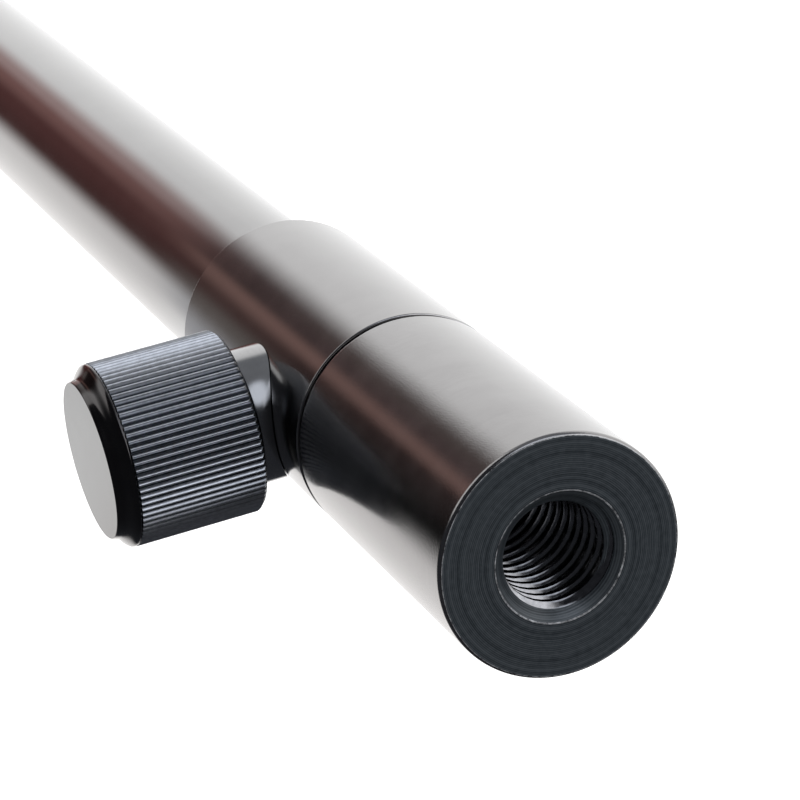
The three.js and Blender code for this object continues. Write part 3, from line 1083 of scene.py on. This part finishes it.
        rear, height = at
        bottom, top, start = height + step, self.knurl_top, rear + step
        draw((rear, height), [(start, bottom)])
        each(bottom, [start] * points, radii, [radius - start for radius in radii])
        pick(piece, lambda p: bottom * MM - WELD < p.z < (bottom + self.flute_lift) * MM
             and p.xy.length > (start - step / 2) * MM)
        rise = (top - bottom - self.flute_short) * MM
        bpy.ops.mesh.extrude_region_move(TRANSFORM_OT_translate={"value": (0, 0, rise)})
        bpy.ops.transform.resize(value=(1, 1, 0), center_override=(0, 0, top * MM))
        bpy.ops.mesh.extrude_region_move(TRANSFORM_OT_translate={"value": (0, 0, step * MM)})
        each(top + step, radii, [self.groove_radius] * points, [-step] * points)
        pick(piece, lambda p: abs(p.z - top * MM) < WELD
             and abs(p.xy.length - self.groove_radius * MM) < WELD)

    def build(self) -> None:
        """Build and dress the boss, the pad, the stud and the knob."""
        dress(self.boss(), "outer", [GLOSS_BOSS])
        dress(self.pad(), "pad", [WHITE_NYLON])
        dress(self.stud(), "thumb_screw", [BRIGHT_STEEL])
        knob = self.knob()
        dress(knob, "thumb_screw", [SATIN_KNURL, POLISHED_BAND, TURNED_DISC])
        give_area(knob, POLISHED_BAND, lambda at: -at.x > self.knurl_top * MM + WELD)
        give_area(knob, TURNED_DISC, lambda at: -at.x > (self.front - SKIN) * MM)


@dataclass
class OuterTube:
    """The main tube, the collar round its upper end and the guide bush in the collar's mouth."""

    radius: float = 7.95
    bore: float = 6.95
    bottom: float = 42.3
    top: float = 267.6
    end_chamfer: float = 0.3
    pin_guard: float = 3.0  # distance of a guard ring from the middle of the cross hole, here and below
    pad_guard: float = 5.0
    collar_radius: float = 10.0
    collar_bore: float = 8.02
    collar_bore_edge: float = 0.1
    collar_bottom: float = 243.2
    collar_top: float = 273.7
    lip: float = 1.5
    lip_bore: float = 6.5
    edge: float = 0.25
    mouth_edge: float = 0.08
    boss_guard: float = 7.0
    spigot_clearance: float = 0.05
    bush_bottom: float = 267.9
    bush_top: float = 271.9
    bush_bore: float = 6.3
    bush_chamfer: float = 0.4

    def side_drill(self, radius: float, height: float) -> Piece:
        """Make the cutter of a hole from the stick's axis out along -X.

        Args:
            radius: The hole's radius.
            height: Its height up the stick.

        Returns:
            The cutter.
        """
        cutter = drill("side_drill", radius, 0, self.collar_radius + OVERRUN)
        place(cutter, (0, -90, 0), (0, 0, height))
        return cutter

    def tube(self, spike: Spike, clamp: Clamp) -> Piece:
        """Turn the main tube.

        Args:
            spike: The spike, whose pin goes through the tube.
            clamp: The clamp, whose pad goes through it.

        Returns:
            The tube, drilled for both.
        """
        guards = (spike.pin_height - self.pin_guard, spike.pin_height + self.pin_guard,
                  clamp.height - self.pad_guard)
        piece = turn("outer_tube_turned",
                     sleeve(self.bore, self.radius, self.bottom, self.top, self.end_chamfer, guards))
        break_edges(piece, Edge.WIPED)
        combine(piece, spike.pin_drill())
        combine(piece, self.side_drill(clamp.bore, clamp.height))
        polish(piece)
        return piece

    def collar(self, clamp: Clamp) -> Piece:
        """Turn the collar.

        Args:
            clamp: The clamp, whose boss sits on the collar.

        Returns:
            The collar with its lip, drilled for the boss's spigot.
        """
        outer, bore, bottom, top = self.collar_radius, self.collar_bore, self.collar_bottom, self.collar_top
        lip_bottom = top - self.lip
        piece = turn("clamp_collar_turned", [
            (bore + self.collar_bore_edge, bottom),
            (outer - self.edge, bottom),
            (outer, bottom + self.edge),
            (outer, clamp.height - self.boss_guard),
            (outer, clamp.height + self.boss_guard),
            (outer, top - self.mouth_edge),
            (outer - self.mouth_edge, top),
            (self.lip_bore + self.edge, top),
            (self.lip_bore, top - self.edge),
            (self.lip_bore, lip_bottom),
            (bore, lip_bottom),
            (bore, bottom + self.collar_bore_edge),
            (bore + self.collar_bore_edge, bottom)])
        break_edges(piece, Edge.EASED)
        combine(piece, self.side_drill(clamp.boss_spigot + self.spigot_clearance, clamp.height))
        polish(piece)
        return piece

    def bush(self) -> Piece:
        """Turn the guide bush.

        Returns:
            The bush, as wide as the main tube.
        """
        piece = turn("collar_bush_turned",
                     sleeve(self.bush_bore, self.radius, self.bush_bottom, self.bush_top, self.bush_chamfer))
        break_edges(piece, Edge.WIPED)
        polish(piece)
        return piece

    def build(self, spike: Spike, clamp: Clamp) -> None:
        """Build and dress tube, collar and bush.

        Args:
            spike: The spike in the tube's lower end.
            clamp: The clamp on the collar.
        """
        dress(self.tube(spike, clamp), "outer", [GLOSS_TUBE])
        dress(self.collar(clamp), "outer", [GLOSS_TURNED])
        dress(self.bush(), "outer", [BLACK_NYLON])


@dataclass
class Extension:
    """The inner tube with the threaded head on top and the plug, slider and screw at its lower end."""

    tube_radius: float = 6.0
    tube_bore: float = 4.8
    tube_bottom: float = 77.1
    tube_top: float = 283.7
    end_chamfer: float = 0.3
    head_radius: float = 10.0
    head_bottom: float = 274.0
    head_top: float = 305.0
    head_socket: float = 6.3
    socket_floor: float = 284.0
    seat_radius: float = 8.2
    seat_floor: float = 275.9
    foot_edge: float = 0.32
    foot_lean: float = 0.06
    foot_lean_height: float = 0.27
    rim_width: float = 0.31
    rim_height: float = 0.45
    rim_end: float = 84.0
    rim_steps: int = 7
    rim_wear_glint: float = 0.03  # depth under the face of the edge that takes the painted glint and wear
    head_smooth_to: float = 28.0
    thread_floor: float = 288.0
    thread_start: float = 0.4  # height of the thread's lower end over that floor
    thread_sink: float = 0.1  # how far under the countersink the thread's finish ends
    tap_allowance: float = 0.15  # how far inside the thread the drilled hole stays
    drill_tip: float = 285.6
    drill_web: float = 0.02  # radius of the drill's blunt tip
    face_finish_from: float = 285.0  # height from which the inside has the face's finish
    countersink: float = 5.4025
    cone_depth: float = 2.0  # depth under the face within which the countersink's cone lies
    cone_skin: float = 0.02  # distance within which a face counts as part of that cone
    countersink_break: float = 0.06  # width of the broken edge round the countersink
    break_run: float = 2.0  # how far its cutter runs on outwards, as a share of that width
    break_rise: float = 0.4  # how far its cutter rises over the face, as a share of that width
    break_wear_glint: float = 1.2  # how wide the edge with the painted glint and wear is there, as a share of that width
    ring_centre: float = 7.1
    ring_section: float = 0.8
    ring_steps: int = 14
    ring_smooth_to: float = 60.0
    flash_angle: float = 10.0
    screw_bottom: float = 61.0
    screw_head_radius: float = 3.5
    screw_head: float = 2.4
    screw_dome_steps: int = 6
    screw_radius: float = 2.0
    screw_chamfer: float = 0.3
    screw_top: float = 76.7
    screw_slot: float = 1.0
    washer_bottom: float = 63.7
    washer_top: float = 64.7
    washer_bore: float = 2.3
    washer_chamfer: float = 0.12
    bush_bottom: float = 65.0
    bush_top: float = 75.0
    bush_radius: float = 6.65
    bush_bore: float = 4.3
    bush_chamfer: float = 0.6
    air_slots: int = 4
    air_slot_width: float = 1.6
    air_slot_depth: float = 0.8
    air_slot_length: float = 14.0
    journal: float = 4.0
    flange_bottom: float = 75.3
    flange_top: float = 76.8
    plug_spigot: float = 4.5
    plug_top: float = 90.1
    plug_chamfer: float = 0.5
    plug_hole_spare: float = 0.3
    thread: Thread = field(default_factory=lambda: Thread(9.525, 0.58, 1.27, crest=0.12, root=0.34))

    def head(self) -> Piece:
        """Turn the head.

        Returns:
            The head, drilled, countersunk and tapped.
        """
        rim = arc((self.head_radius - self.rim_width, self.head_top - self.rim_height), self.rim_width,
                  self.rim_height, 0, self.rim_end, self.rim_steps)
        lean_bottom = self.head_bottom + self.foot_edge - self.foot_lean
        piece = turn("threaded_head_turned", [
            (self.head_socket, self.socket_floor),
            (self.head_socket, self.seat_floor),
            (self.seat_radius, self.seat_floor),
            (self.seat_radius, self.head_bottom),
            (self.head_radius - self.foot_edge, self.head_bottom),
            (self.head_radius - self.foot_lean, lean_bottom),
            (self.head_radius, lean_bottom + self.foot_lean_height)] + rim)
        break_edges(piece, Edge.CRISP)
        drilled = self.thread.major / 2 - self.thread.depth - self.tap_allowance
        combine(piece, turn("tapping_drill", [
            (self.drill_web, self.drill_tip),
            (drilled, self.thread_floor),
            (drilled, self.thread_floor + OVERRUN)], COARSE))
        lip, lean = self.countersink, self.countersink_break
        combine(piece, turn("countersink", [
            (drilled, self.head_top - (lip - drilled)),
            (lip - lean, self.head_top - lean),
            (lip + self.break_run * lean, self.head_top + self.break_rise * lean),
            (lip + OVERRUN, self.head_top + OVERRUN)]))
        turns = math.ceil((self.head_top - self.thread_floor) / self.thread.pitch)
        combine(piece, self.thread.column("tap", self.thread_floor + self.thread_start, turns))
        keep_crisp(piece, self.in_countersink)
        polish(piece, self.head_smooth_to)
        return piece

    def in_countersink(self, at: Vector) -> bool:
        """Say whether a place in metres lies on the countersink's cone."""
        depth = self.head_top - at.z / MM
        return depth < self.cone_depth and abs(at.xy.length / MM - self.countersink + depth) < self.cone_skin

    def on_edge(self, at: Vector) -> bool:
        """Say whether a place lies on a broken edge of the face, where the glint is painted.

        Args:
            at: The place in metres.

        Returns:
            Whether it lies on the outer edge or on the hole's.
        """
        radius, depth, lean = at.xy.length / MM, self.head_top - at.z / MM, self.countersink_break
        rim = depth < self.rim_wear_glint and radius > self.head_radius - self.rim_width + SKIN
        hole = 0 < depth < lean and abs(radius - self.countersink) < self.break_wear_glint * lean
        return rim or hole

    def tube(self) -> Piece:
        """Turn the telescopic tube.

        Returns:
            The tube.
        """
        piece = turn("inner_tube_turned", sleeve(self.tube_bore, self.tube_radius, self.tube_bottom,
                                                 self.tube_top, self.end_chamfer))
        break_edges(piece, Edge.WIPED)
        polish(piece)
        return piece

    def ring(self) -> Piece:
        """Mould the rubber ring under the head.

        Returns:
            The ring, with a fine flash line round its outside.
        """
        centre = (self.ring_centre, self.head_bottom + self.ring_section)
        section = arc(centre, self.ring_section, self.ring_section, self.flash_angle, 360 - self.flash_angle,
                      self.ring_steps)
        outline = section + [(self.ring_centre + self.ring_section, centre[1]), section[0]]
        piece = turn("buffer_ring_turned", outline, MEDIUM)
        polish(piece, self.ring_smooth_to)
        return piece

    def screw(self) -> Piece:
        """Turn the screw.

        Returns:
            The screw, with a domed and slotted head.
        """
        head, shank = self.screw_head_radius, self.screw_radius
        dome = arc((head / 2, self.screw_bottom + self.screw_head / 2), head / 2, self.screw_head / 2, -90, 0,
                   self.screw_dome_steps)
        piece = turn("tail_screw_turned", dome + [
            (head, self.screw_bottom + self.screw_head),
            (shank, self.screw_bottom + self.screw_head),
            (shank, self.screw_top - self.screw_chamfer),
            (shank - self.screw_chamfer, self.screw_top)], COARSE)
        combine(piece, block("slot", (2 * (head + OVERRUN), self.screw_slot, 2 * self.screw_slot),
                             (0, 0, self.screw_bottom)))
        break_edges(piece, Edge.WIPED)
        polish(piece)
        return piece

    def washer(self) -> Piece:
        """Turn the washer.

        Returns:
            The washer, as wide as the telescopic tube.
        """
        outline = sleeve(self.washer_bore, self.tube_radius, self.washer_bottom, self.washer_top,
                         self.washer_chamfer, broken_bore=False)
        piece = turn("tail_washer_turned", outline, MEDIUM)
        break_edges(piece, Edge.STONED)
        polish(piece)
        return piece

    def bush(self) -> Piece:
        """Turn the slider.

        Returns:
            The slider, with air slots down its side.
        """
        piece = turn("tail_bush_turned", sleeve(self.bush_bore, self.bush_radius, self.bush_bottom,
                                                self.bush_top, self.bush_chamfer), MEDIUM)
        for number in range(self.air_slots):
            cutter = block("air_slot", (2 * self.air_slot_depth, self.air_slot_width, self.air_slot_length),
                           (self.bush_radius, 0, (self.bush_bottom + self.bush_top) / 2))
            place(cutter, (0, 0, 360 * number / self.air_slots), (0, 0, 0))
            combine(piece, cutter)
        break_edges(piece, Edge.EASED)
        polish(piece)
        return piece

    def plug(self) -> Piece:
        """Turn the plug.

        Returns:
            The plug, with journal, flange and spigot, drilled for the screw.
        """
        piece = turn("tail_plug_turned", [
            (self.washer_bore, self.screw_top + self.plug_hole_spare),
            (self.washer_bore, self.bush_bottom),
            (self.journal, self.bush_bottom),
            (self.journal, self.flange_bottom),
            (self.tube_radius, self.flange_bottom),
            (self.tube_radius, self.flange_top),
            (self.plug_spigot, self.flange_top),
            (self.plug_spigot, self.plug_top - self.plug_chamfer),
            (self.plug_spigot - self.plug_chamfer, self.plug_top)], MEDIUM)
        break_edges(piece, Edge.EASED)
        polish(piece)
        return piece

    def build(self) -> None:
        """Build and dress the pieces that slide and turn."""
        head = self.head()
        dress(head, "extension", [GLOSS_HEAD, MATT_FACE, CUT_THREAD, WORN_GLINT_EDGE])
        face_edge = (self.head_radius - self.rim_width + SKIN) * MM
        give_area(head, MATT_FACE, lambda at: at.z > self.face_finish_from * MM and at.xy.length < face_edge)
        thread_top = self.head_top - (self.countersink - self.thread.major / 2) - self.thread_sink
        give_area(head, CUT_THREAD, lambda at: self.drill_tip * MM < at.z < thread_top * MM
                  and at.xy.length < self.thread.major / 2 * MM)
        give_area(head, MATT_FACE, self.in_countersink)
        # The face's broken edges take the painted glint, partly worn bare metal.
        give_area(head, WORN_GLINT_EDGE, self.on_edge)
        dress(self.tube(), "extension", [GLOSS_TUBE])
        dress(self.ring(), "extension", [BLACK_RUBBER])
        dress(self.plug(), "extension", [BARE_ALUMINIUM])
        dress(self.bush(), "slider", [WHITE_NYLON])
        dress(self.washer(), "extension", [BRIGHT_STEEL])
        dress(self.screw(), "extension", [BRIGHT_STEEL])


# ------------------------------------------------------------------------------------------- studio and camera


def heading(azimuth: float, elevation: float) -> Vector:
    """Give the direction at an azimuth from +X and a height above the horizon, both in degrees."""
    return Vector((1, 0, 0)) @ Matrix.Rotation(math.radians(elevation), 3, "Y") @ Matrix.Rotation(
        -math.radians(azimuth), 3, "Z")


@dataclass(frozen=True)
class Lamp:
    """A soft square lamp that faces the stick.

    Attributes:
        name: Its name.
        azimuth: Its direction from the stick in degrees from +X.
        elevation: Its height above the horizon in degrees.
        distance: Its distance in metres.
        size: Its side in metres.
        power: Its power in watts.
    """

    name: str
    azimuth: float
    elevation: float
    distance: float
    size: float
    power: float

    def hang(self, aim: Vector) -> None:
        """Hang the lamp so that it faces a point.

        Args:
            aim: The point in metres.
        """
        towards = heading(self.azimuth, self.elevation)
        bpy.ops.object.light_add(type="AREA", location=aim + towards * self.distance)
        lamp = bpy.context.object
        lamp.name = self.name
        lamp.rotation_euler = towards.to_track_quat("Z", "Y").to_euler()
        lamp.data.shape = "SQUARE"
        lamp.data.size = self.size
        lamp.data.energy = self.power
        lamp.visible_glossy = False


@dataclass(frozen=True)
class Card:
    """A soft bright card that hangs far off and shows only in gloss.

    Attributes:
        azimuth: Its direction from the stick in degrees from +X.
        elevation: Its height above the horizon in degrees.
        edge: Angle from its middle to its soft edge in degrees.
        core: Angle from its middle to where it is full in degrees.
        tone: Its colour.
    """

    azimuth: float
    elevation: float
    edge: float
    core: float
    tone: Colour


@dataclass
class Studio:
    """A pale floor, soft lamps and white surroundings, with dark and bright areas that show only in gloss.

    A warm dark sheet lies on the floor on one side of the stick, dark walls stand on another side, and two
    soft bright cards hang in the dark above.

    Attributes:
        floor_size: Side of the floor in metres.
        floor_colour: Its colour to the eye.
        floor_glow: How far it shines by itself, so that its far parts stay white.
        speckle: Specks of its grain in a metre.
        speckle_tone: Its tone in the specks.
        sheet_azimuth: Direction of the sheet's middle in degrees from +X.
        tube_reach: Distances in metres over which the sheet changes from under_tube to under_collar.
        collar_reach: Distances over which it changes to under_head.
        sheet_reach: Distances over which it changes to far_floor.
        floor_reach: Distances over which the floor changes to the horizon's tones.
        under_tube: Tones round the stick near it, by the share of a circle, with the sheet's middle at half.
        under_collar: Tones a little further out.
        under_head: Tones further out again.
        far_floor: Tones of the far floor.
        horizon: Tones at the horizon.
        sheet_strength: Brightness of all these in gloss.
        wall_heights: Heights of view, as sines, between which the horizon changes to the dark above.
        world_tone: Light from all round.
        cards: The soft bright cards.
        lamps: The lamps.
        lamp_aim: The point in metres that the lamps face.
    """

    floor_size: float = 60.0
    floor_colour: Colour = (0.8, 0.8, 0.8)
    floor_glow: float = 0.3
    speckle: float = 400.0
    speckle_tone: float = 0.985
    sheet_azimuth: float = 127.07
    tube_reach: Point = (0.104, 0.122)
    collar_reach: Point = (0.140, 0.150)
    sheet_reach: Point = (0.25, 0.4)
    floor_reach: Point = (0.9, 1.2)
    under_tube: Stops = (
        (0.35, WHITE), (0.425, (0.50, 0.36, 0.35)), (0.475, (0.27, 0.14, 0.13)), (0.535, (0.12, 0.05, 0.048)),
        (0.61, (0.09, 0.04, 0.038)), (0.705, CREAM))
    under_collar: Stops = (
        (0.355, WHITE), (0.455, (0.07, 0.05, 0.05)), (0.49, (0.07, 0.05, 0.05)), (0.525, (0.28, 0.17, 0.15)),
        (0.57, (0.10, 0.06, 0.055)), (0.62, (0.18, 0.16, 0.15)), (0.70, (0.46, 0.47, 0.50)), (0.80, WHITE))
    under_head: Stops = (
        (0.37, WHITE), (0.455, (0.11, 0.085, 0.08)), (0.49, (0.10, 0.07, 0.07)), (0.525, (0.28, 0.17, 0.15)),
        (0.56, (0.03, 0.02, 0.02)), (0.66, (0.008, 0.008, 0.008)), (0.76, CREAM))
    far_floor: Stops = (
        (0.0, WALL), (0.07, WALL), (0.15, WHITE), (0.27, WHITE), (0.32, GREY), (0.385, GREY), (0.43, WHITE),
        (0.555, WHITE), (0.60, WALL))
    horizon: Stops = (
        (0.0, WALL), (0.07, WALL), (0.15, WHITE), (0.24, WHITE), (0.29, GREY), (0.385, GREY), (0.43, WALL))
    sheet_strength: float = 1.05
    wall_heights: Point = (0.3, 0.6)
    world_tone: Colour = (0.6, 0.6, 0.6)
    cards: tuple[Card, ...] = (
        Card(azimuth=73, elevation=36, edge=24, core=11, tone=(1.15, 1.22, 1.35)),
        Card(azimuth=19, elevation=41, edge=30, core=18, tone=(1.75, 1.78, 1.84)),
    )
    lamps: tuple[Lamp, ...] = (
        Lamp("key_lamp", azimuth=75, elevation=50, distance=1.1, size=0.7, power=14),
        Lamp("fill_lamp", azimuth=-60, elevation=40, distance=1.4, size=1.0, power=10),
    )
    lamp_aim: tuple[float, float, float] = (0, 0, 0.2)

    def floor(self) -> None:
        """Lay the floor."""
        bpy.ops.object.select_all(action="DESELECT")
        bpy.ops.mesh.primitive_plane_add(size=self.floor_size)
        floor = bpy.context.object
        floor.name = "floor"
        floor.data.materials.append(self.floor_material())

    def floor_material(self) -> bpy.types.Material:
        """Make the floor white to the eye and keep the dark sheet for reflections.

        Returns:
            The floor's material.
        """
        material = bpy.data.materials.new("pale_floor")
        material.use_nodes = True
        board = Board(material.node_tree)
        at = board.add("ShaderNodeTexCoord").outputs["Object"]
        bearing = self.bearing(board, at)
        reach = board.add("ShaderNodeVectorMath", {0: at}, operation="LENGTH").outputs["Value"]
        sheet = board.ramp(bearing, self.under_tube)
        for limits, stops in ((self.tube_reach, self.under_collar), (self.collar_reach, self.under_head),
                              (self.sheet_reach, self.far_floor), (self.floor_reach, self.horizon)):
            sheet = board.blend(self.ease(board, reach, limits), sheet, board.ramp(bearing, stops))
        seen_in_gloss = board.add("ShaderNodeEmission", {"Color": sheet, "Strength": self.sheet_strength})
        grain = board.add("ShaderNodeTexNoise", {"Vector": at, "Scale": self.speckle, "Detail": 2.0})
        speck = tuple(self.speckle_tone * part for part in self.floor_colour)
        tone = board.blend(grain.outputs[0], speck, self.floor_colour)
        lit = board.add("ShaderNodeBsdfDiffuse", {"Color": tone})
        glow = board.add("ShaderNodeEmission", {"Color": (1, 1, 1, 1), "Strength": self.floor_glow})
        plain = board.add("ShaderNodeAddShader", {0: lit.outputs[0], 1: glow.outputs[0]})
        ray = board.add("ShaderNodeLightPath")
        mixed = board.add("ShaderNodeMixShader", {0: ray.outputs["Is Glossy Ray"], 1: plain.outputs[0],
                                                  2: seen_in_gloss.outputs[0]})
        board.add("ShaderNodeOutputMaterial", {"Surface": mixed.outputs[0]})
        return material

    def bearing(self, board: Board, at: Socket) -> Socket:
        """Give the share of a full circle round the stick, with the middle of the sheet at one half.

        Args:
            board: The material's or the world's board.
            at: The place or the direction of view.

        Returns:
            The share from 0 to 1.
        """
        turned = board.add("ShaderNodeMapping", {
            "Vector": at, "Rotation": (0, 0, -math.radians(self.sheet_azimuth))}).outputs[0]
        return board.add("ShaderNodeTexGradient", {"Vector": turned}, gradient_type="RADIAL").outputs[1]

    def ease(self, board: Board, value: Socket, limits: Point) -> Socket:
        """Give a share that eases from 0 to 1 as a value goes from one limit to the other."""
        return board.spread(value, limits, interpolation_type="SMOOTHSTEP")

    def surroundings(self) -> None:
        """Make the world white to the eye, plain for light and bright at the horizon for gloss."""
        world = bpy.data.worlds.new("studio")
        bpy.context.scene.world = world
        world.use_nodes = True
        board = Board(world.node_tree)
        at = board.add("ShaderNodeTexCoord").outputs["Generated"]
        height = board.add("ShaderNodeSeparateXYZ", {0: at}).outputs["Z"]
        walls = board.ramp(self.bearing(board, at), self.horizon)
        around = board.blend(self.ease(board, height, self.wall_heights), walls, WALL)
        for card in self.cards:
            towards = board.add("ShaderNodeVectorMath", {0: at, 1: heading(card.azimuth, card.elevation)},
                                operation="DOT_PRODUCT").outputs["Value"]
            limits = (math.cos(math.radians(card.edge)), math.cos(math.radians(card.core)))
            around = board.blend(self.ease(board, towards, limits), around, card.tone)
        ray = board.add("ShaderNodeLightPath")
        plain = board.blend(ray.outputs["Is Glossy Ray"], self.world_tone, around)
        seen = board.maths("MAXIMUM", ray.outputs["Is Camera Ray"], ray.outputs["Is Transmission Ray"])
        colour = board.blend(seen, plain, WHITE)
        background = board.add("ShaderNodeBackground", {"Color": colour, "Strength": 1.0})
        board.add("ShaderNodeOutputWorld", {"Surface": background.outputs[0]})

    def build(self) -> None:
        """Lay the floor, hang the lamps and set the surroundings."""
        self.floor()
        self.surroundings()
        for lamp in self.lamps:
            lamp.hang(Vector(self.lamp_aim))
        bpy.context.scene.view_settings.view_transform = "Standard"


@dataclass(frozen=True)
class Viewpoint:
    """The camera's place, in millimetres in the stick's frame."""

    position: tuple[float, float, float] = (-78.788, 104.293, 508.637)
    aim: tuple[float, float, float] = (1.036, 0.799, 269.560)
    up: tuple[float, float, float] = (0.26264, 0.91437, -0.30813)
    lens: float = 143.37
    sensor: float = 36.0
    nearest: float = 10.0
    furthest: float = 100000.0

    def build(self) -> None:
        """Set up the camera."""
        position = Vector(self.position) * MM
        back = (position - Vector(self.aim) * MM).normalized()
        right = Vector(self.up).cross(back).normalized()
        up = back.cross(right)
        bpy.ops.object.camera_add()
        camera = bpy.context.object
        camera.name = "camera"
        turned = Matrix((right, up, back)).transposed()
        camera.matrix_world = Matrix.Translation(position) @ turned.to_4x4()
        camera.data.lens = self.lens
        camera.data.sensor_width = self.sensor
        camera.data.clip_start = self.nearest * MM
        camera.data.clip_end = self.furthest * MM
        bpy.context.scene.camera = camera


def main() -> None:
    """Set up the camera, build every sub-assembly in order, and then the studio."""
    logging.basicConfig(level=logging.INFO, format="%(message)s")
    Viewpoint().build()
    spike, clamp = Spike(), Clamp()
    spike.build()
    OuterTube().build(spike, clamp)
    clamp.build()
    Extension().build()
    Studio().build()


if __name__ == "__main__":
    main()
